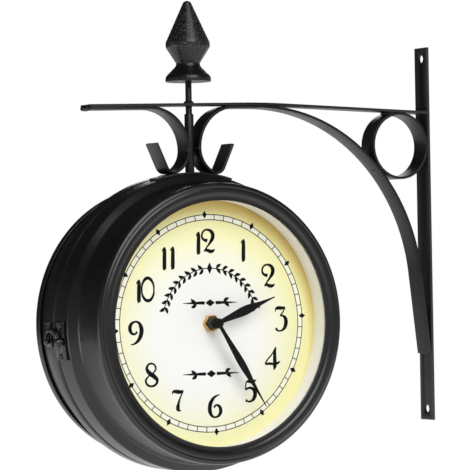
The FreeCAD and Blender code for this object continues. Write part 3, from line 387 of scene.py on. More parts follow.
# Each face's enamel sets its gradient's middle so that the painted bezel shadow falls on that face's upper
# right edge.
DIAL_ENAMELS_WITH_PAINTED_SHADOW = {"front": DialEnamel("sprayed_front_dial_enamel", "dial_enamel"),
           "rear": DialEnamel("sprayed_rear_dial_enamel", "dial_enamel", (-203.4, -71.5))}
GLASS = Pane("clear_float_glass", "window_glass")


# ---- shapes -----------------------------------------------------------------------------

@dataclass(frozen=True)
class Corner:
    """A corner of a turned outline.

    ease rounds the corner by cutting that far back along both edges. arc gives the radius
    of an arc that leads to the corner, and side is 1 where the arc turns left.
    """

    radius: float
    height: float
    ease: float = 0.0
    arc: float = 0.0
    side: int = 1


def vertices_in(geometry: Iterable[Any]) -> list[bmesh.types.BMVert]:
    """The vertices among an operator's results."""
    return [item for item in geometry if isinstance(item, bmesh.types.BMVert)]


def bevel(mesh: Mesh, geometry: Sequence[Any], offset: float, affect: str, segments: int,
          clamp: bool = False) -> None:
    """Round vertices or edges off.

    Args:
        mesh: The mesh that holds them.
        geometry: The vertices or the edges.
        offset: How far back along the neighbouring edges the rounding starts.
        affect: VERTICES or EDGES.
        segments: Edges across the rounding.
        clamp: Whether roundings stop where they would meet.
    """
    bmesh.ops.bevel(mesh, geom=geometry, offset=offset, offset_type="OFFSET", affect=affect,
                    segments=segments, profile=0.5, material=-1, clamp_overlap=clamp)


def into_scene(thing: bpy.types.Object) -> bpy.types.Object:
    """Link an object to the scene and hand it back."""
    bpy.context.scene.collection.objects.link(thing)
    return thing


def sweep_vertex(mesh: Mesh, start: bmesh.types.BMVert, target: Corner,
                 steps: int) -> bmesh.types.BMVert:
    """Carry a vertex round an arc to the target corner.

    Args:
        mesh: The mesh that holds the outline.
        start: The arc's first vertex.
        target: The corner with its arc radius and side.
        steps: How many edges the arc gets.

    Returns:
        The arc's last vertex.
    """
    first = Vector((start.co.x, start.co.z))
    last = Vector((target.radius, target.height))
    chord = last - first
    rise = math.sqrt(max(target.arc ** 2 - chord.length_squared / 4, 0.0))
    normal = Vector((-chord.y, chord.x)).normalized()
    centre = (first + last) / 2 + normal * rise * target.side
    angle = 2 * math.asin(min(1.0, chord.length / 2 / target.arc))
    spun = bmesh.ops.spin(mesh, geom=[start], cent=(centre.x, 0, centre.y), axis=(0, -target.side, 0),
                          dvec=(0, 0, 0), angle=angle, steps=steps)
    return vertices_in(spun["geom_last"])[0]


def lathe(corners: Sequence[Corner], steps: int, ease_steps: int, arc_steps: int = 10) -> Mesh:
    """Spin an outline of corners about Z.

    An outline that touches the axis is open there; any other is closed.

    Args:
        corners: The outline, in order.
        steps: Steps of the full turn.
        ease_steps: Segments of each rounded corner.
        arc_steps: Edges of each arc.

    Returns:
        The turned mesh, in millimetres.
    """
    mesh = bmesh.new()
    vertices = [mesh.verts.new((corners[0].radius, 0, corners[0].height))]
    for corner in corners[1:]:
        if corner.arc:
            vertices.append(sweep_vertex(mesh, vertices[-1], corner, arc_steps))
        else:
            vertices.append(mesh.verts.new((corner.radius, 0, corner.height)))
            mesh.edges.new(vertices[-2:])
    if all(corner.radius > TINY for corner in corners):
        mesh.edges.new((vertices[-1], vertices[0]))
    for vertex, corner in zip(vertices, corners):
        if corner.ease:
            bevel(mesh, [vertex], corner.ease, "VERTICES", ease_steps)
    bmesh.ops.spin(mesh, geom=mesh.verts[:] + mesh.edges[:], cent=(0, 0, 0), axis=(0, 0, 1),
                   dvec=(0, 0, 0), angle=FULL, steps=steps, use_merge=True)
    return mesh


def ring(inner: float, outer: float, low: float, high: float, ease: float = 0.2,
         steps: int = 192) -> Mesh:
    """A turned ring of square section with eased edges."""
    ends = ((inner, low), (outer, low), (outer, high), (inner, high))
    return lathe([Corner(radius, height, ease) for radius, height in ends], steps, 2)


def plate(corners: Sequence[tuple[float, float]], low: float, high: float) -> Mesh:
    """A closed flat plate of the given outline in X and Y between two heights."""
    mesh = bmesh.new()
    mesh.faces.new([mesh.verts.new((x, y, low)) for x, y in corners])
    region = bmesh.ops.extrude_face_region(mesh, geom=mesh.faces[:])
    bmesh.ops.translate(mesh, verts=vertices_in(region["geom"]), vec=(0, 0, high - low))
    return mesh


@dataclass(frozen=True)
class Nib:
    """A point that a pen stroke passes through, and the stroke's width there."""

    x: float
    y: float
    width: float


def stroke(nibs: Sequence[Nib], rise: float, closed: bool = False, fineness: int = 8) -> Mesh:
    """A smooth stroke of changing width that lies on Z=0.

    Args:
        nibs: The points that it passes through.
        rise: Its height for each millimetre of its width.
        closed: Whether it runs back to its start.
        fineness: Steps between two points.

    Returns:
        The stroke's mesh, lens shaped in section.
    """
    data = bpy.data.curves.new("stroke", "CURVE")
    data.dimensions = "3D"
    data.bevel_depth = 1.0
    data.bevel_resolution = 2
    data.resolution_u = fineness
    data.use_fill_caps = True
    spline = data.splines.new("BEZIER")
    spline.bezier_points.add(len(nibs) - 1)
    spline.use_cyclic_u = closed
    spline.radius_interpolation = "CARDINAL"
    for point, nib in zip(spline.bezier_points, nibs):
        point.co = (nib.x, nib.y, 0)
        point.radius = nib.width / 2
        point.handle_left_type = point.handle_right_type = "AUTO"
    holder = into_scene(bpy.data.objects.new("stroke", data))
    bpy.context.view_layer.update()
    solid = bpy.data.meshes.new_from_object(holder.evaluated_get(bpy.context.evaluated_depsgraph_get()))
    mesh = bmesh.new()
    mesh.from_mesh(solid)
    bpy.data.objects.remove(holder)
    bpy.data.curves.remove(data)
    bpy.data.meshes.remove(solid)
    bmesh.ops.scale(mesh, vec=(1, 1, rise), verts=mesh.verts)
    return mesh


def joined(meshes: Iterable[Mesh]) -> Mesh:
    """Gather meshes into one, and free them."""
    whole = bmesh.new()
    for mesh in meshes:
        part = bpy.data.meshes.new("part")
        mesh.to_mesh(part)
        whole.from_mesh(part)
        mesh.free()
        bpy.data.meshes.remove(part)
    return whole


def placed(mesh: Mesh, matrix: Matrix) -> Mesh:
    """Move a mesh by a matrix and hand it back."""
    bmesh.ops.transform(mesh, matrix=matrix, verts=mesh.verts)
    return mesh


class Strap:
    """A flat bar with rolled edges, bent along its way in the plane of the bracket."""

    edge = 0.55

    def __init__(self, x: float, z: float, heading: float, width: float, thickness: float) -> None:
        """Start the bar.

        Args:
            x: Where its middle line starts.
            z: Where its middle line starts.
            heading: Degrees from +X towards +Z.
            width: The bar's width, along Y.
            thickness: The bar's thickness.
        """
        self.x, self.z, self.heading = x, z, math.radians(heading)
        self.mesh = bmesh.new()
        across = Vector((-math.sin(self.heading), 0, math.cos(self.heading))) * thickness / 2
        start = Vector((x, 0, z))
        half = width / 2
        corners = [self.mesh.verts.new(start + across * side + Vector((0, along, 0)))
                   for side, along in ((-1, -half), (-1, half), (1, half), (1, -half))]
        self.mesh.faces.new(corners)
        bevel(self.mesh, corners, self.edge, "VERTICES", 3)
        face = self.mesh.faces[:][0]
        self.front: list[Any] = [face, *face.edges, *face.verts]

    def straight(self, length: float) -> Strap:
        """Run straight on for a length and return the strap."""
        step = Vector((math.cos(self.heading), 0, math.sin(self.heading))) * length
        region = bmesh.ops.extrude_face_region(self.mesh, geom=self.front)
        self.front = region["geom"]
        bmesh.ops.translate(self.mesh, verts=vertices_in(self.front), vec=step)
        self.x += step.x
        self.z += step.z
        return self

    def bend(self, radius: float, turn: float, side: int) -> Strap:
        """Bend round.

        Args:
            radius: Of the middle line.
            turn: Degrees turned.
            side: 1 to the left, -1 to the right.

        Returns:
            The strap.
        """
        centre = Vector((self.x - math.sin(self.heading) * radius * side, 0,
                         self.z + math.cos(self.heading) * radius * side))
        angle = math.radians(turn)
        steps = max(6, round(turn * max(radius, 12) ** 0.5 / 12))
        spun = bmesh.ops.spin(self.mesh, geom=self.front, cent=centre, axis=(0, -side, 0),
                              dvec=(0, 0, 0), angle=angle, steps=steps)
        self.front = spun["geom_last"]
        before = self.heading
        self.heading += angle * side
        self.x += radius * (math.sin(self.heading) - math.sin(before)) * side
        self.z -= radius * (math.cos(self.heading) - math.cos(before)) * side
        return self


# ---- pieces -----------------------------------------------------------------------------

class Workshop:
    """Finishes meshes as pieces of the clock, and dresses the CAD nodes that stay."""

    smooth_angle = math.radians(32)
    flat_angle = math.radians(0.6)
    hard_angle = math.radians(35)

    def __init__(self, frame: dict[str, Any]) -> None:
        """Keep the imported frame's nodes and the body that each rides on."""
        self.nodes: dict[str, bpy.types.Object] = frame["nodes"]
        bodies = frame["record"]["behaviour"]["bodies"]
        self.body_of = {node: body for body, members in bodies.items() for node in members}

    def finish(self, name: str, mesh: Mesh, look: Finish, body: str,
               replaces: Sequence[str] = (), from_cad: bool = False) -> bpy.types.Object:
        """Turn a mesh into a piece that rides on a body.

        Args:
            name: The piece's name.
            mesh: Its shape at rest, in the row frame.
            look: Its finish.
            body: The body that it rides on.
            replaces: The CAD nodes that it stands for.
            from_cad: Whether it is a CAD mesh, which is in metres and has its normals.

        Returns:
            The piece.
        """
        if not from_cad:
            bmesh.ops.scale(mesh, vec=(MM, MM, MM), verts=mesh.verts)
        bmesh.ops.remove_doubles(mesh, verts=mesh.verts, dist=1e-7)
        if not from_cad:
            bmesh.ops.recalc_face_normals(mesh, faces=mesh.faces)
        data = bpy.data.meshes.new(name)
        mesh.to_mesh(data)
        mesh.free()
        data.shade_smooth()
        data.set_sharp_from_angle(angle=self.smooth_angle)
        data.materials.append(look.material())
        piece = into_scene(bpy.data.objects.new(name, data))
        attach(piece, body)
        if replaces:
            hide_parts(*replaces)
        log.info("%s: %d faces on %s", name, len(data.polygons), body)
        return piece

    def refine(self, node: str, look: Finish, edge: float) -> bpy.types.Object:
        """Stand in for a CAD node with the same shape, its hard edges eased.

        Args:
            node: The CAD node.
            look: Its finish.
            edge: How far its hard edges are bevelled.

        Returns:
            The piece.
        """
        mesh = bmesh.new()
        mesh.from_mesh(self.nodes[node].data)
        bmesh.ops.remove_doubles(mesh, verts=mesh.verts, dist=1e-6)
        bmesh.ops.dissolve_limit(mesh, angle_limit=self.flat_angle, verts=mesh.verts, edges=mesh.edges)
        hard = [e for e in mesh.edges
                if len(e.link_faces) == 2 and e.calc_face_angle(0.0) > self.hard_angle]
        bevel(mesh, hard, edge * MM, "EDGES", 2, clamp=True)
        return self.finish(f"{node}_eased", mesh, look, self.body_of[node], [node], from_cad=True)

    def dress(self, node: str, look: Finish) -> None:
        """Give a CAD node that stays its finish."""
        piece = self.nodes[node]
        piece.data.materials.clear()
        piece.data.materials.append(look.material())
        log.info("%s keeps its shape", node)


@dataclass(frozen=True)
class Lump:
    """A blob of weld that runs across the straps, by its middle and half sizes."""

    x: float
    z: float
    half_x: float
    half_z: float
    half_y: float = 8.6


@dataclass
class Bracket:
    """The wall bar, the bowed arm, the ring and the two scrolled straps."""

    width: float = 16.0
    thickness: float = 2.0
    arm_start: tuple[float, float] = (-2.03, 92.05)
    arm_rise: float = 1.7
    arm_fall: float = 1.45
    arm_runs: tuple[float, float] = (127.14, 123.85)
    arm_bow: float = 700.0
    left_start: tuple[float, float] = (-291.4, 90.75)
    left_run: float = 48.66
    left_belly: float = 17.16
    brace_start: tuple[float, float] = (-3.0, -91.05)
    brace_tail: float = 62.4
    brace_radius: float = 140.32
    brace_turn: float = 83.0
    brace_run: float = 6.02
    brace_belly: float = 19.31
    bow: float = 30.0
    belly_turn: float = 65.0
    toe: float = 6.5
    tail: float = 19.0
    ring_centre: tuple[float, float] = (-27.25, 66.52)
    ring_radii: tuple[float, float] = (23.25, 25.25)
    bar_edge: float = 0.45
    weld_edge: float = 0.6
    lumps: tuple[Lump, ...] = (
        Lump(-291.8, 91.3, 2.2, 2.5, 7.4), Lump(-281.5, 92.0, 3.6, 1.9), Lump(-166.0, 94.9, 3.4, 1.8),
        Lump(-28.5, 91.6, 4.4, 1.6), Lump(-45.9, 49.4, 2.2, 2.8), Lump(-2.3, 66.5, 1.2, 3.6))

    def strap(self, start: tuple[float, float], heading: float) -> Strap:
        """Start a strap of the bracket's own section."""
        return Strap(*start, heading, self.width, self.thickness)

    def scroll(self, strap: Strap, side: int, belly: float) -> Strap:
        """Bend a strap down from under the arm into its belly, its toe and its tail."""
        strap.bend(self.bow, 90 - self.arm_fall * side, side)
        strap.bend(belly, self.belly_turn, side).bend(self.toe, 90, side)
        return strap.straight(self.tail)

    def weld(self, lump: Lump) -> Mesh:
        """A row of uneven drops along Y."""
        mesh = bmesh.new()
        bmesh.ops.create_icosphere(mesh, subdivisions=4, radius=1.0)
        for vertex in mesh.verts:
            wave = noise.noise(Vector((vertex.co.x * 2, vertex.co.y * 5, vertex.co.z * 2 + lump.x)))
            vertex.co *= 0.92 + 0.16 * wave
        bmesh.ops.scale(mesh, vec=(lump.half_x, lump.half_y, lump.half_z), verts=mesh.verts)
        return placed(mesh, Matrix.Translation((lump.x, 0, lump.z)))

    def build(self, shop: Workshop) -> None:
        """Make the straps and the welds."""
        body = "bracket"
        shop.refine("wall_bar", POWDER, self.bar_edge)
        arm = self.strap(self.arm_start, 180 - self.arm_rise).straight(self.arm_runs[0])
        arm.bend(self.arm_bow, self.arm_rise + self.arm_fall, 1).straight(self.arm_runs[1])
        shop.finish("arm_bar_strap", arm.mesh, POWDER, body, ["arm_bar"])
        left = self.strap(self.left_start, self.arm_fall).straight(self.left_run)
        shop.finish("left_scroll_strap", self.scroll(left, -1, self.left_belly).mesh, POWDER, body,
                    ["left_scroll"])
        brace = self.strap(self.brace_start, 180 - self.brace_turn).straight(self.brace_tail)
        brace.bend(self.brace_radius, self.brace_turn, 1)
        brace.bend(self.arm_bow - self.thickness, self.arm_fall, 1).straight(self.brace_run)
        shop.finish("brace_scroll_strap", self.scroll(brace, 1, self.brace_belly).mesh, POWDER, body,
                    ["brace_scroll"])
        hoop = ring(*self.ring_radii, -self.width / 2, self.width / 2, self.bar_edge, 96)
        turn = Matrix.Translation((self.ring_centre[0], 0, self.ring_centre[1])) @ Matrix.Rotation(
            math.radians(-90), 4, "X")
        shop.finish("bracket_ring_hoop", placed(hoop, turn), POWDER, body, ["bracket_ring"])
        shop.refine("weld_beads", POWDER, self.weld_edge)
        shop.finish("weld_lumps", joined(self.weld(lump) for lump in self.lumps), POWDER, body)


@dataclass
class Hanger:
    """The rod with its sleeve, the turned finial and the saddle on the drum."""

    x: float = -207.4
    rod: tuple[float, float, float] = (2.3, 35.5, 119.1)
    sleeve: tuple[float, float, float] = (3.3, 46.1, 88.3)
    finial_base: float = 111.6
    sleeve_slip: float = 0.04
    # The finial's dents: how wide and deep, the heights where they start, are full and stop.
    dent_mm: float = 2.6
    dent_depth: float = 0.05
    dent_reach: float = 0.75
    dents_from: float = 15.0
    dents_full: float = 21.0
    dents_to: float = 57.5
    # Where the turned mesh is cut finer to take them: edges this long, above this height.
    long_edge: float = 2.5
    fine_from: float = 13.0

    def finial(self) -> Mesh:
        """Turn the knob and dent its upper part as hammer paint and casting leave it."""
        corners = [
            Corner(0, 8.0), Corner(2.34, 8.0), Corner(2.34, 0.2, 0.2), Corner(16.5, 0.0, 0.4),
            Corner(16.5, 1.6, 0.3), Corner(14.85, 5.3, arc=4.62), Corner(9.6, 10.6, 0.5),
            Corner(8.6, 13.4, arc=4.125, side=-1), Corner(16.0, 25.0, 0.7), Corner(16.0, 28.4, 0.6),
            Corner(3.4, 56.1, 0.6), Corner(0, 58.65, arc=3.5)]
        knob = lathe(corners, 128, 5)
        long_edges = [e for e in knob.edges
                      if abs(e.verts[0].co.z - e.verts[1].co.z) > self.long_edge
                      and min(v.co.z for v in e.verts) > self.fine_from]
        bmesh.ops.subdivide_edges(knob, edges=long_edges, cuts=12, use_grid_fill=True)
        for vertex in knob.verts:
            climb = (vertex.co.z - self.dents_from) / (self.dents_full - self.dents_from)
            share = min(1.0, max(0.0, climb))
            if share and vertex.co.z < self.dents_to:
                cell = noise.voronoi(vertex.co / self.dent_mm)[0][0]
                depth = self.dent_depth * share * max(0.0, self.dent_reach - cell)
                vertex.co.xy *= 1 - depth / max(vertex.co.xy.length, 1.0)
        return placed(knob, Matrix.Translation((self.x, 0, self.finial_base)))

    def build(self, shop: Workshop) -> None:
        """Make the rod, the sleeve, the knob and what holds them."""
        here = Matrix.Translation((self.x, 0, 0))
        radius, low, high = self.rod
        rod = lathe([Corner(0, low), Corner(radius, low, 0.4), Corner(radius, high, 0.3),
                     Corner(0, high)], 48, 2)
        shop.finish("hanger_rod_turned", placed(rod, here), POWDER, "bracket", ["hanger_rod"])
        outer, low, high = self.sleeve
        sleeve = ring(radius + self.sleeve_slip, outer, low, high, 0.4, 64)
        shop.finish("stem_sleeve_turned", placed(sleeve, here), POWDER, "bracket", ["stem_sleeve"])
        shop.finish("finial_knob", self.finial(), HAMMER, "bracket", ["finial"])
        shop.refine("foot_saddle", POWDER, 0.35)
        shop.refine("rod_nuts", ZINC, 0.25)


# The height of the dial's front, from the bezel's front.
DIAL_FLOOR = -18.7
# The dial and the hands' axis are turned this many degrees, as the photograph shows them.
FACE_ROLL = 2.6


class Facing(Enum):
    """Which way a half of the clock looks."""

    FRONT = -1
    REAR = 1

    @property
    def word(self) -> str:
        """The half's name in the CAD nodes."""
        return self.name.lower()


@dataclass(frozen=True)
class Half:
    """A spun half of the case, by heights from the joint between both halves."""

    body: str
    depth: float
    flange_end: float
    lip: float


@dataclass
class Drum:
    """The case's two spun halves with their screws, hinge and latch."""

    x: float = -207.4
    z: float = -62.5
    joint: float = 9.0
    flange: float = 107.0
    body: float = 101.0
    mouth: float = 98.5
    sheet: float = 1.2
    # The rolled joint edge, and how far from the half's depth its neck and mouth lie.
    lip_radius: float = 103.5
    roll_end: float = 3.8
    slope: float = 4.5
    neck_back: float = 9.0
    mouth_back: float = 5.8
    # Seats of the saddle's and the leaves' screws, from the drum's axis, and their places.
    saddle_seat: float = 108.6
    saddle_along: float = -1.25
    leaf_seat: float = 108.2
    leaf_aside: float = 7.5
    leaf_heights: tuple[float, float] = (-7, 7)
    latch_seat: float = 1.2
    screw_shank: float = 0.9
    screw_head: float = 1.66
    recess_half: float = 0.22
    recess_reach: float = 1.0
    recess_depth: float = 0.35
    saddle_angles: tuple[float, float] = (76.7, 103.3)
    latch_angle: float = 185.6
    halves: ClassVar[dict[Facing, Half]] = {
        Facing.FRONT: Half("bracket", 53.2, 19.0, -0.2), Facing.REAR: Half("rear_door", 45.0, 12.0, 0.3)}

    def frame(self, angle: float, along: float, radius: float) -> Matrix:
        """On the drum: X to the front, Z outwards, angle in degrees from +X towards +Z."""
        c, d = math.cos(math.radians(angle)), math.sin(math.radians(angle))
        turn = Matrix(((0, d, c, 0), (-1, 0, 0, 0), (0, -c, d, 0), (0, 0, 0, 1)))
        return Matrix.Translation((self.x + radius * c, along, self.z + radius * d)) @ turn

    def outwards(self, facing: Facing, along: float, roll: float = 0.0) -> Matrix:
        """A frame on the axis at Y=along whose Z looks out of that face."""
        side = -facing.value
        turn = Matrix(((side, 0, 0, 0), (0, 0, facing.value, 0), (0, 1, 0, 0), (0, 0, 0, 1)))
        return (Matrix.Translation((self.x, along, self.z)) @ turn
                @ Matrix.Rotation(math.radians(side * roll), 4, "Z"))

    def shell(self, half: Half) -> Mesh:
        """Spin one half: rolled joint edge at the lip's height, flange, slope and waisted body."""
        wall, crest = self.sheet, half.flange_end
        neck, mouth = half.depth - self.neck_back, half.depth - self.mouth_back
        shoulder = crest + self.slope
        corners = [
            Corner(self.lip_radius, half.lip), Corner(self.flange, self.roll_end, arc=3.5),
            Corner(self.flange, crest, 1.1), Corner(self.body, shoulder, 1.4),
            Corner(self.mouth, neck, arc=150, side=-1),
            Corner(self.mouth, mouth), Corner(self.mouth - wall, mouth), Corner(self.mouth - wall, neck),
            Corner(self.body - wall, shoulder - 0.6, arc=150),
            Corner(self.flange - wall, crest - 0.6, 0.8), Corner(self.flange - wall, self.roll_end),
            Corner(self.lip_radius, 1.5, arc=2.3, side=-1)]
        return lathe(corners, 256, 4, 12)

    def screws(self, frames: Sequence[Matrix], grip: float) -> Mesh:
        """Domed screw heads with a crossed recess, on their shanks."""
        made = []
        for place in frames:
            tip = -grip - 1.4
            head = lathe([
                Corner(0, tip), Corner(self.screw_shank, tip, 0.2), Corner(self.screw_shank, 0.0),
                Corner(self.screw_head, 0.0), Corner(self.screw_head, 0.25, 0.1),
                Corner(0, 0.88, arc=2.6)], 24, 2, 5)
            for vertex in [v for v in head.verts if v.co.z > 0.5]:
                reach = min(abs(vertex.co.x), abs(vertex.co.y))
                if reach < self.recess_half and vertex.co.xy.length < self.recess_reach:
                    vertex.co.z -= self.recess_depth
            made.append(placed(head, place))
        return joined(made)

    def build(self, shop: Workshop) -> None:
        """Make both halves and dress their fittings."""
        for facing, half in self.halves.items():
            shell = placed(self.shell(half), self.outwards(facing, self.joint))
            shop.finish(f"{facing.word}_case_shell", shell, CASE_COAT, half.body, [f"{facing.word}_case"])
        saddle = [self.frame(angle, self.saddle_along, self.saddle_seat) for angle in self.saddle_angles]
        shop.finish("foot_screw_heads", self.screws(saddle, 2.8), ZINC, "bracket", ["foot_screws"])
        latch = self.frame(self.latch_angle, self.joint, self.flange)
        spots = {1: ((11, 11.5), (8, -10)), -1: ((-7.5, 10.5),)}
        for side, name, body in ((1, "front_case_screws", "bracket"),
                                 (-1, "rear_case_screws", "rear_door")):
            leaf = self.frame(0, self.joint - self.leaf_aside * side, self.leaf_seat)
            frames = [leaf @ Matrix.Translation((0, height, 0)) for height in self.leaf_heights]
            frames += [latch @ Matrix.Translation((x, y, self.latch_seat)) for x, y in spots[side]]
            shop.finish(f"{name}_heads", self.screws(frames, 2.4), FITTING, body, [name])
        for node, edge in (("hinge_front_leaf", 0.3), ("hinge_rear_leaf", 0.3), ("hinge_pin", 0.2),
                           ("latch_stud", 0.25), ("latch_hook", 0.35)):
            shop.refine(node, FITTING, edge)
        shop.refine("latch_plate", CASE_COAT, 0.3)


@dataclass
class Window:
    """One face's bezel, pane, seal and white inner wall."""

    facing: Facing
    place: Matrix
    body: str

    def build(self, shop: Workshop) -> None:
        """Turn the four rings of the window."""
        bezel = [
            Corner(98.8, -8.0, 0.3), Corner(100, -8.0, 0.3), Corner(100, -3.2),
            Corner(97.2, -0.15, arc=3.0), Corner(96.3, -0.7, 0.4), Corner(95.2, -0.1, 0.4),
            Corner(92.0, -0.05, 1.2), Corner(90.6, -1.1, 0.5), Corner(88.2, -1.2, 0.4),
            Corner(87.2, -1.0, 0.3), Corner(87.2, -2.0, 0.15), Corner(98.8, -2.0, 0.2)]
        self.make(shop, "bezel", lathe(bezel, 256, 4, 8), BEZEL)
        pane = [Corner(0, -4.0), Corner(95, -4.0, 0.3), Corner(95, -2.0, 0.3), Corner(0, -2.0)]
        self.make(shop, "glass", lathe(pane, 160, 2), GLASS)
        self.make(shop, "glass_seal", ring(88.8, 95, -5.0, -4.0), RUBBER)
        rim = [
            Corner(88, -5.0, 0.2), Corner(88, DIAL_FLOOR), Corner(92, DIAL_FLOOR), Corner(92, -17.9),
            Corner(88.8, -17.9, 0.3), Corner(88.8, -5.8, 0.3), Corner(98.5, -5.8, 0.2),
            Corner(98.5, -5.0, 0.2)]
        self.make(shop, "rim", lathe(rim, 224, 3), RIM)

    def make(self, shop: Workshop, kind: str, mesh: Mesh, look: Finish) -> None:
        """Finish one ring for its node."""
        node = f"{self.facing.word}_{kind}"
        shop.finish(f"{node}_turned", placed(mesh, self.place), look, self.body, [node])


# Pen strokes of the numerals: x, y and width of each point, from the figure's lower left.
PEN = {
    "0": [[(0.7, 8.8, 1.1), (2.5, 15.0, 1.7), (5.6, 16.8, 2.0), (8.7, 15.0, 1.7), (10.5, 8.8, 1.1),
          (8.7, 2.6, 1.7), (5.6, 0.9, 2.0), (2.5, 2.6, 1.7)]],
    "1": [[(0.3, 13.4, 0.5), (1.5, 14.6, 1.3), (2.9, 16.4, 0.7)], [(2.7, 16.1, 1.2), (2.6, 14.0, 2.3),
          (2.4, 8.0, 2.6), (2.2, 1.6, 2.5), (2.1, 0.5, 1.5)], [(3.9, 1.7, 0.4), (2.5, 0.9, 1.2),
          (0.9, 0.2, 0.5)]],
    "2": [[(5.2, 8.8, 2.3), (3.6, 9.0, 1.9), (1.2, 10.4, 1.5), (0.8, 13.4, 1.3), (2.6, 15.9, 1.2),
          (5.6, 16.5, 1.4), (9.0, 14.6, 2.4), (9.6, 11.2, 2.6), (7.4, 7.4, 1.7), (4.4, 3.8, 1.0),
          (2.4, 1.4, 0.8)], [(2.2, 1.0, 0.6), (4.2, 2.0, 1.8), (7.4, 1.1, 2.2), (10.0, 1.6, 1.6),
          (11.2, 2.8, 0.5)]],
    "3": [[(0.3, 14.2, 0.5), (0.8, 16.2, 1.2), (2.6, 17.0, 2.1), (6.0, 16.9, 2.1), (8.9, 17.4, 1.2)],
         [(8.8, 17.0, 0.9), (6.8, 14.0, 0.9), (4.6, 11.6, 0.9)], [(4.4, 11.3, 0.8), (7.0, 11.2, 1.5),
          (9.2, 8.8, 2.5), (9.2, 5.2, 2.7), (7.6, 2.0, 2.0), (4.7, 0.5, 1.1), (1.8, 1.0, 1.3),
          (0.7, 2.6, 1.6)]],
    "4": [[(9.9, 17.0, 0.7), (9.0, 14.6, 1.9), (8.7, 9.0, 2.5), (8.6, 3.0, 2.5), (7.8, 0.3, 0.8)],
         [(9.4, 16.4, 0.7), (6.2, 11.6, 0.9), (2.6, 8.0, 1.0), (0.6, 5.2, 1.2)], [(0.4, 4.6, 1.1),
          (3.6, 5.0, 1.6), (8.0, 4.7, 1.5), (11.4, 5.3, 1.6), (13.3, 6.6, 0.6)]],
    "5": [[(2.2, 14.8, 1.2), (4.6, 15.0, 2.2), (7.6, 14.8, 2.3), (9.4, 15.2, 1.4), (10.5, 16.1, 0.5)],
         [(2.2, 14.8, 0.9), (1.7, 11.8, 0.9), (1.4, 9.2, 1.0)], [(1.4, 8.9, 1.2), (3.8, 10.1, 1.4),
          (7.0, 9.8, 1.9), (9.2, 7.4, 2.6), (9.0, 3.8, 2.6), (6.6, 1.0, 1.7), (3.6, 0.5, 1.1),
          (1.4, 1.6, 1.8)]],
    "6": [[(10.0, 16.4, 0.6), (6.8, 15.6, 1.3), (3.4, 12.6, 2.3), (1.6, 8.2, 2.8), (2.0, 3.8, 2.5),
          (4.2, 1.0, 1.5), (7.0, 0.7, 1.3), (9.8, 2.6, 2.1), (10.5, 5.8, 2.4), (8.9, 8.6, 1.7),
          (6.4, 9.0, 1.2), (5.0, 7.4, 1.6)]],
    "7": [[(0.3, 12.2, 0.5), (0.9, 14.0, 1.4), (3.2, 14.2, 2.3), (6.4, 13.8, 2.3), (9.3, 14.6, 1.0)],
         [(9.1, 14.2, 0.9), (6.6, 9.6, 1.1), (5.0, 5.0, 1.9), (4.7, 1.9, 2.7), (5.4, 0.8, 1.6),
          (7.3, 0.9, 0.5)]],
    "8": [[(9.4, 13.6, 1.2), (5.8, 16.7, 1.2), (2.2, 14.2, 1.7), (3.4, 10.8, 2.6), (8.0, 7.4, 2.8),
          (10.4, 4.2, 1.9), (5.8, 0.7, 1.3), (1.2, 4.0, 1.5), (3.4, 7.8, 1.0), (7.6, 10.4, 1.0)]],
}
CLOSED_FIGURES = "08"
# A 9 is a slightly larger 6 that is turned on its head within the 6's width and height.
SIX_BOX = (11.8, 17.1)
NINE_SCALE = 1.02


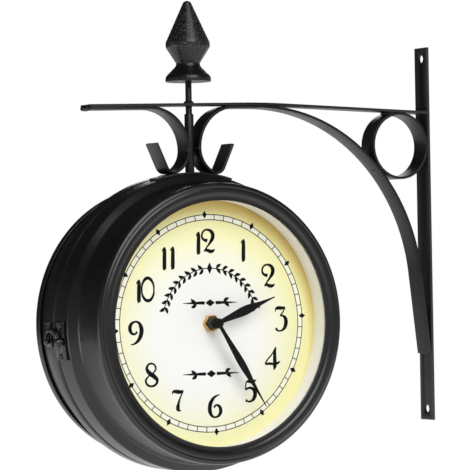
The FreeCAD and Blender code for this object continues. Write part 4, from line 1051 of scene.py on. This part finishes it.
@dataclass
class Dial:
    """One face's dial with its printed track, numerals and plain ornament."""

    facing: Facing
    place: Matrix
    body: str
    weight: float = 1.2
    rise: float = 0.035
    film: float = 0.05
    sunk: float = -0.02
    line_half: float = 0.3
    track: tuple[float, float] = (73.9, 77.6)
    plate_radius: float = 92.0
    plate_hole: float = 4.1
    # Each figure of the hours 1 to 12 and its lower left corner, from the hands' axis.
    numerals: tuple[tuple[str, float, float], ...] = (
        ("1", 26.2, 43.4), ("2", 43.5, 24.5), ("3", 54.3, -7.5), ("4", 44.9, -35.5), ("5", 26.9, -57.6),
        ("6", -3.3, -67.7), ("7", -32.6, -61.8), ("8", -54.8, -43.8), ("9", -67.0, -14.2),
        ("1", -60.4, 15.8), ("0", -56.4, 16.3), ("1", -39.3, 38.4), ("1", -32.5, 38.7),
        ("1", -11.2, 49.0), ("2", -6.6, 50.2))

    def figure(self, digit: str, x: float, y: float) -> Mesh:
        """Write one figure.

        Args:
            digit: The figure.
            x: Its lower left corner.
            y: Its lower left corner.

        Returns:
            The figure's strokes.
        """
        turned = digit == "9"
        scale = NINE_SCALE if turned else 1.0
        width, height = SIX_BOX
        strokes = []
        for line in PEN["6" if turned else digit]:
            nibs = [Nib(width - a, height - b, c * self.weight) if turned else Nib(a, b, c * self.weight)
                    for a, b, c in line]
            strokes.append(stroke(nibs, self.rise, digit in CLOSED_FIGURES))
        spot = Matrix.Rotation(math.radians(-FACE_ROLL), 4, "Z") @ Vector((x, y, 0))
        return placed(joined(strokes), Matrix.Translation(spot) @ self.upright()
                      @ Matrix.Diagonal((scale, scale, 1, 1)))

    def upright(self) -> Matrix:
        """Undo the dial's roll, so that what it turns stands straight in view."""
        return Matrix.Rotation(math.radians(FACE_ROLL * self.facing.value), 4, "Z")

    def figures(self) -> Mesh:
        """Write all twelve hours."""
        return joined(self.figure(digit, x, y) for digit, x, y in self.numerals)

    def minute_track(self) -> Mesh:
        """Two circles, sixty ticks and twelve lozenges."""
        inner, outer = self.track
        half = self.line_half
        made = [ring(radius - half, radius + half, self.sunk, self.film, 0, 240) for radius in self.track]
        for minute in range(60):
            turn = Matrix.Rotation(-FULL * minute / 60, 4, "Z")
            if minute % 5:
                corners = [(-half, inner), (half, inner), (half, outer), (-half, outer)]
            else:
                corners = [(0, outer - 2.8), (1.9, outer), (0, outer + 2.8), (-1.9, outer)]
            made.append(placed(plate(corners, self.sunk, self.film + 0.01), turn))
        return joined(made)

    def lozenge(self, half_x: float, half_y: float) -> Mesh:
        """A printed lozenge about the origin."""
        return plate([(-half_x, 0), (0, half_y), (half_x, 0), (0, -half_y)], self.sunk, self.film)

    def leaf(self, length: float, width: float) -> Mesh:
        """A small printed leaf that grows from the origin along +X."""
        shape = ((0.0, 0.3), (0.25, 0.8), (0.55, 1.0), (0.85, 0.5), (1.0, 0.1))
        nibs = [Nib(share * length, math.sin(share * math.pi) * length * 0.12, swell * width * self.weight)
                for share, swell in shape]
        return stroke(nibs, self.rise, fineness=4)

    def garland(self, radius: float, half_angle: float, pairs: int) -> Mesh:
        """A stem of plain leaves bent round the upper part of the dial."""
        ends = [math.radians(90 + half_angle * (1 - 2 * step / 24)) for step in range(25)]
        made = [stroke([Nib(radius * math.cos(a), radius * math.sin(a), 0.7) for a in ends], self.rise)]
        for index in range(-pairs, pairs + 1):
            angle = 90 - half_angle * index / (pairs + 0.5)
            here = Matrix.Rotation(math.radians(angle), 4, "Z") @ Matrix.Translation((radius, 0, 0))
            if index == 0:
                made.append(placed(self.lozenge(4.2, 2.2), here))
                continue
            way = 1 if index > 0 else -1
            for side in (1, -1):
                lean = math.radians(-90 * way + 42 * side * way)
                made.append(placed(self.leaf(5.2, 2.0), here @ Matrix.Rotation(lean, 4, "Z")))
        return joined(made)

    def rule(self, y: float, half: float) -> Mesh:
        """A swelled rule with a lozenge at its middle and a leaf towards each end."""
        made = [self.lozenge(4.0, 2.6)]
        for side in (1, -1):
            line = [Nib(side * (4.5 + (half - 4.5) * share), 0, width)
                    for share, width in ((0, 2.4), (0.35, 1.9), (0.7, 1.2), (1.0, 0.4))]
            made.append(stroke(line, self.rise))
            for lean in (35, -35):
                turn = Matrix.Rotation(math.radians(lean if side > 0 else 180 - lean), 4, "Z")
                here = Matrix.Translation((side * half * 0.5, 0, 0))
                made.append(placed(self.leaf(5.6, 2.2), here @ turn))
        return placed(joined(made), Matrix.Translation((0, y, 0)))

    def build(self, shop: Workshop) -> None:
        """Cut the dial and print it."""
        word = self.facing.word
        disc = ring(self.plate_hole, self.plate_radius, -0.8, 0.0, 0.1, 224)
        shop.finish(f"{word}_dial_plate", placed(disc, self.place), DIAL_ENAMELS_WITH_PAINTED_SHADOW[word], self.body,
                    [f"{word}_dial"])
        backing = ring(self.plate_hole, self.plate_radius - 0.1, -0.82, -0.79, 0, 160)
        shop.finish(f"{word}_dial_backing", placed(backing, self.place), PRIMER, self.body)
        band = ring(*self.track, self.sunk, self.film / 2, 0, 240)
        shop.finish(f"{word}_track_band", placed(band, self.place), WHITE_INK, self.body)
        lift = self.place @ Matrix.Translation((0, 0, 0.02))
        for name, print_of in (("minute_track", self.minute_track), ("numerals", self.figures)):
            shop.finish(f"{word}_{name}", placed(print_of(), lift), INK, self.body)
        ornament = joined([self.garland(39.3, 76, 9), self.rule(14.6, 22.5), self.rule(-36.0, 23.5)])
        shop.finish(f"{word}_ornament", placed(ornament, lift @ self.upright()), INK, self.body)


@dataclass
class Hands:
    """One face's two hands, the nut on the arbor and the fixing nut behind them."""

    facing: Facing
    place: Matrix
    thickness: float = 0.6
    hub: float = 3.7
    collar_inset: float = 0.5
    hour_rise: float = 9.0
    minute_rise: float = 11.3
    hour_angle: float = 72.5
    minute_angle: float = 150.0
    arbor: float = 1.57
    nut: float = 3.3
    # Shares of a hand's length, and its width at each.
    outline: tuple[tuple[float, float], ...] = (
        (0.04, 3.4), (0.16, 4.0), (0.32, 5.6), (0.46, 6.8), (0.58, 6.0), (0.72, 3.6), (0.86, 2.0),
        (1.0, 0.9))

    def hand(self, length: float, girth: float, low: float, bore: float, collar: float,
             angle: float) -> Mesh:
        """Stamp one hand.

        Args:
            length: From the axis to its tip.
            girth: Its width against the outline's.
            low: Its underside, from the face's front.
            bore: The radius of its hole.
            collar: The underside of its collar.
            angle: Degrees clockwise from twelve.

        Returns:
            The hand at its place.
        """
        blade = stroke([Nib(0, share * length, width * girth) for share, width in self.outline], 1.0)
        for vertex in blade.verts:
            vertex.co.z = max(-0.5, min(0.5, vertex.co.z * 1.2)) * self.thickness
        middle = low + self.thickness / 2
        blade = placed(blade, Matrix.Translation((0, 0, middle)))
        high = low + self.thickness
        neck = self.hub - self.collar_inset
        disc = lathe([Corner(bore, collar), Corner(neck, collar, 0.2), Corner(neck, low, 0.1),
                      Corner(self.hub, low, 0.1), Corner(self.hub, high, 0.2),
                      Corner(bore, high, 0.1)], 48, 3)
        return placed(joined([blade, disc]), self.place @ Matrix.Rotation(math.radians(-angle), 4, "Z"))

    def build(self, shop: Workshop) -> None:
        """Make the hands and the nuts."""
        word = self.facing.word
        low = DIAL_FLOOR + self.hour_rise
        hour = self.hand(51.7, 1.0, low, 2.52, low - 1.2, self.hour_angle)
        shop.finish(f"{word}_hour_hand_stamped", hour, HAND, f"{word}_hour", [f"{word}_hour_hand"])
        low = DIAL_FLOOR + self.minute_rise
        minute = self.hand(71.7, 0.84, low, self.arbor, low - 0.9, self.minute_angle)
        shop.finish(f"{word}_minute_hand_stamped", minute, HAND, f"{word}_minute",
                    [f"{word}_minute_hand"])
        low += self.thickness
        nut = lathe([Corner(0, low + 1.5), Corner(self.arbor, low + 1.5), Corner(self.arbor, low),
                     Corner(self.nut, low, 0.15), Corner(self.nut, low + 1.2, 0.3),
                     Corner(2.1, low + 2.2, 0.3), Corner(0, low + 2.2)], 48, 3)
        shop.finish(f"{word}_hand_nut_turned", placed(nut, self.place), HAND, f"{word}_minute",
                    [f"{word}_hand_nut"])
        shop.refine(f"{word}_fixing_nut", BRASS, 0.3)
        shop.dress(f"{word}_dial_washer", RUBBER)


@dataclass
class Movement:
    """One quartz movement behind a dial."""

    facing: Facing

    def build(self, shop: Workshop) -> None:
        """Ease the moulded parts, and dress the metal and the wheels."""
        eased = {"movement_case": (PLASTIC, 0.4), "movement_cover": (PLASTIC, 0.35),
                 "set_knob": (PLASTIC, 0.2), "battery": (JACKET, 0.3)}
        for kind, (look, edge) in eased.items():
            shop.refine(f"{self.facing.word}_{kind}", look, edge)
        kept = {"battery_contacts": NICKEL, "circuit_board": BOARD, "minute_arbor": BRASS,
                "hour_wheel": ACETAL, "reversing_wheel": ACETAL}
        for kind, look in kept.items():
            shop.dress(f"{self.facing.word}_{kind}", look)


@dataclass(frozen=True)
class Lamp:
    """A square soft lamp: its way from what it looks at, its side in metres and its watts."""

    name: str
    away: tuple[float, float, float]
    size: float
    watts: float


@dataclass
class Studio:
    """The camera at the photograph's angle, soft lamps, a white room and a pale floor."""

    image_px: int = 470
    focal_px: float = 2658.4
    sensor_mm: float = 36.0
    eye: tuple[float, float, float] = (-1176.48, -1657.05, -19.05)
    yaw: float = 31.27
    pitch: float = 0.58
    roll: float = -0.99
    floor_z: float = -620.0
    room: float = 0.54
    mirrored_walls: float = 0.5
    mirrored_back: float = 0.15
    mirrored_ceiling: float = 0.08
    floor_glow: float = 0.4
    # What the lamps look at, in metres, and the lamps.
    middle: tuple[float, float, float] = (-0.17, 0.0, -0.02)
    lamps: tuple[Lamp, ...] = (
        Lamp("key_lamp", (-0.23, -1.863, 1.334), 1.7, 43.0),
        Lamp("left_lamp", (-1.7, 0.5, -0.5), 0.9, 7.0), Lamp("back_lamp", (1.3, 2.0, 1.0), 0.9, 6.0))

    def camera(self) -> None:
        """Stand the camera where the photograph was taken from."""
        yaw, pitch, roll = (math.radians(value) for value in (self.yaw, self.pitch, self.roll))
        ahead = Vector((math.sin(yaw) * math.cos(pitch), math.cos(yaw) * math.cos(pitch), math.sin(pitch)))
        right = Vector((math.cos(yaw), -math.sin(yaw), 0))
        up = right.cross(ahead)
        across = right * math.cos(roll) + up * math.sin(roll)
        above = up * math.cos(roll) - right * math.sin(roll)
        data = bpy.data.cameras.new("studio_camera")
        data.sensor_width = self.sensor_mm
        data.lens = self.focal_px * self.sensor_mm / self.image_px
        data.clip_start, data.clip_end = 0.05, 60.0
        data.dof.use_dof = False
        camera = into_scene(bpy.data.objects.new("studio_camera", data))
        rows = zip(across, above, -ahead, Vector(self.eye) * MM)
        camera.matrix_world = Matrix([*[list(row) for row in rows], [0, 0, 0, 1]])
        bpy.context.scene.camera = camera

    def light(self, lamp: Lamp) -> None:
        """Set a lamp up and aim it."""
        data = bpy.data.lights.new(lamp.name, "AREA")
        data.size = lamp.size
        data.energy = lamp.watts
        away = Vector(lamp.away)
        aim = (-away).to_track_quat("-Z", "Y").to_matrix().to_4x4()
        light = into_scene(bpy.data.objects.new(lamp.name, data))
        light.matrix_world = Matrix.Translation(Vector(self.middle) + away) @ aim

    def world(self) -> None:
        """A white room in view and in reflections, and a plain soft fill elsewhere."""
        world = bpy.data.worlds.new("white_room")
        world.use_nodes = True
        tree = world.node_tree
        tree.nodes.clear()
        path = add(tree, "LightPath").outputs
        way = add(tree, "SeparateXYZ", {0: add(tree, "TexCoord").outputs["Generated"]}).outputs
        walls = remap(tree, way["Z"], (-0.1, 0.45), self.mirrored_walls, self.mirrored_ceiling)
        behind = remap(tree, way["Y"], (0.35, 0.9), 1.0, self.mirrored_back)
        mirrored = combined(tree, "MULTIPLY", walls, behind)
        fill = remap(tree, path["Is Glossy Ray"], (0.0, 1.0), self.room, mirrored)
        seen = combined(tree, "MAXIMUM", path["Is Camera Ray"], path["Is Transmission Ray"])
        strength = remap(tree, seen, (0.0, 1.0), fill, 1.0)
        shader = add(tree, "Background", {"Color": linear("FFFFFF"), "Strength": strength})
        add(tree, "OutputWorld", {"Surface": shader.outputs[0]})
        bpy.context.scene.world = world

    def floor(self) -> None:
        """A pale floor below the clock that keeps its shadow."""
        mesh = bmesh.new()
        bmesh.ops.create_grid(mesh, x_segments=1, y_segments=1, size=4.0)
        bmesh.ops.translate(mesh, verts=mesh.verts, vec=(0, 0, self.floor_z * MM))
        data = bpy.data.meshes.new("floor")
        mesh.to_mesh(data)
        mesh.free()
        material = bpy.data.materials.new("painted_studio_floor")
        material.use_nodes = True
        tree = material.node_tree
        tree.nodes.clear()
        path = add(tree, "LightPath").outputs
        seen = combined(tree, "MAXIMUM", path["Is Camera Ray"], path["Is Glossy Ray"])
        cloud = add(tree, "TexNoise", {"Vector": add(tree, "TexCoord").outputs["Object"], "Scale": 3.0})
        tone = blend(tree, cloud.outputs["Fac"], "EFEFEE", "F4F4F3")
        paint = add(tree, "BsdfDiffuse", {"Color": tone}).outputs[0]
        lift = combined(tree, "MULTIPLY", seen, self.floor_glow)
        glow = add(tree, "Emission", {"Color": linear("FFFFFF"), "Strength": lift}).outputs[0]
        both = add(tree, "AddShader", {0: paint, 1: glow}).outputs[0]
        add(tree, "OutputMaterial", {"Surface": both})
        data.materials.append(material)
        floor = into_scene(bpy.data.objects.new("floor", data))

    def build(self) -> None:
        """Set the camera, the room and the lamps."""
        self.camera()
        self.world()
        self.floor()
        for lamp in self.lamps:
            self.light(lamp)
        bpy.context.scene.view_settings.view_transform = "Standard"


def main() -> None:
    """Load the frame and build the clock round it."""
    logging.basicConfig(level=logging.INFO, format="%(name)s %(message)s")
    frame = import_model()
    shop = Workshop(frame)
    Studio().build()
    Bracket().build(shop)
    Hanger().build(shop)
    drum = Drum()
    drum.build(shop)
    for facing, along, body in ((Facing.FRONT, -44.2, "bracket"), (Facing.REAR, 54.0, "rear_door")):
        face = drum.outwards(facing, along, FACE_ROLL)
        Window(facing, face, body).build(shop)
        Dial(facing, face @ Matrix.Translation((0, 0, DIAL_FLOOR)), body).build(shop)
        Hands(facing, face).build(shop)
        Movement(facing).build(shop)


if __name__ == "__main__":
    main()
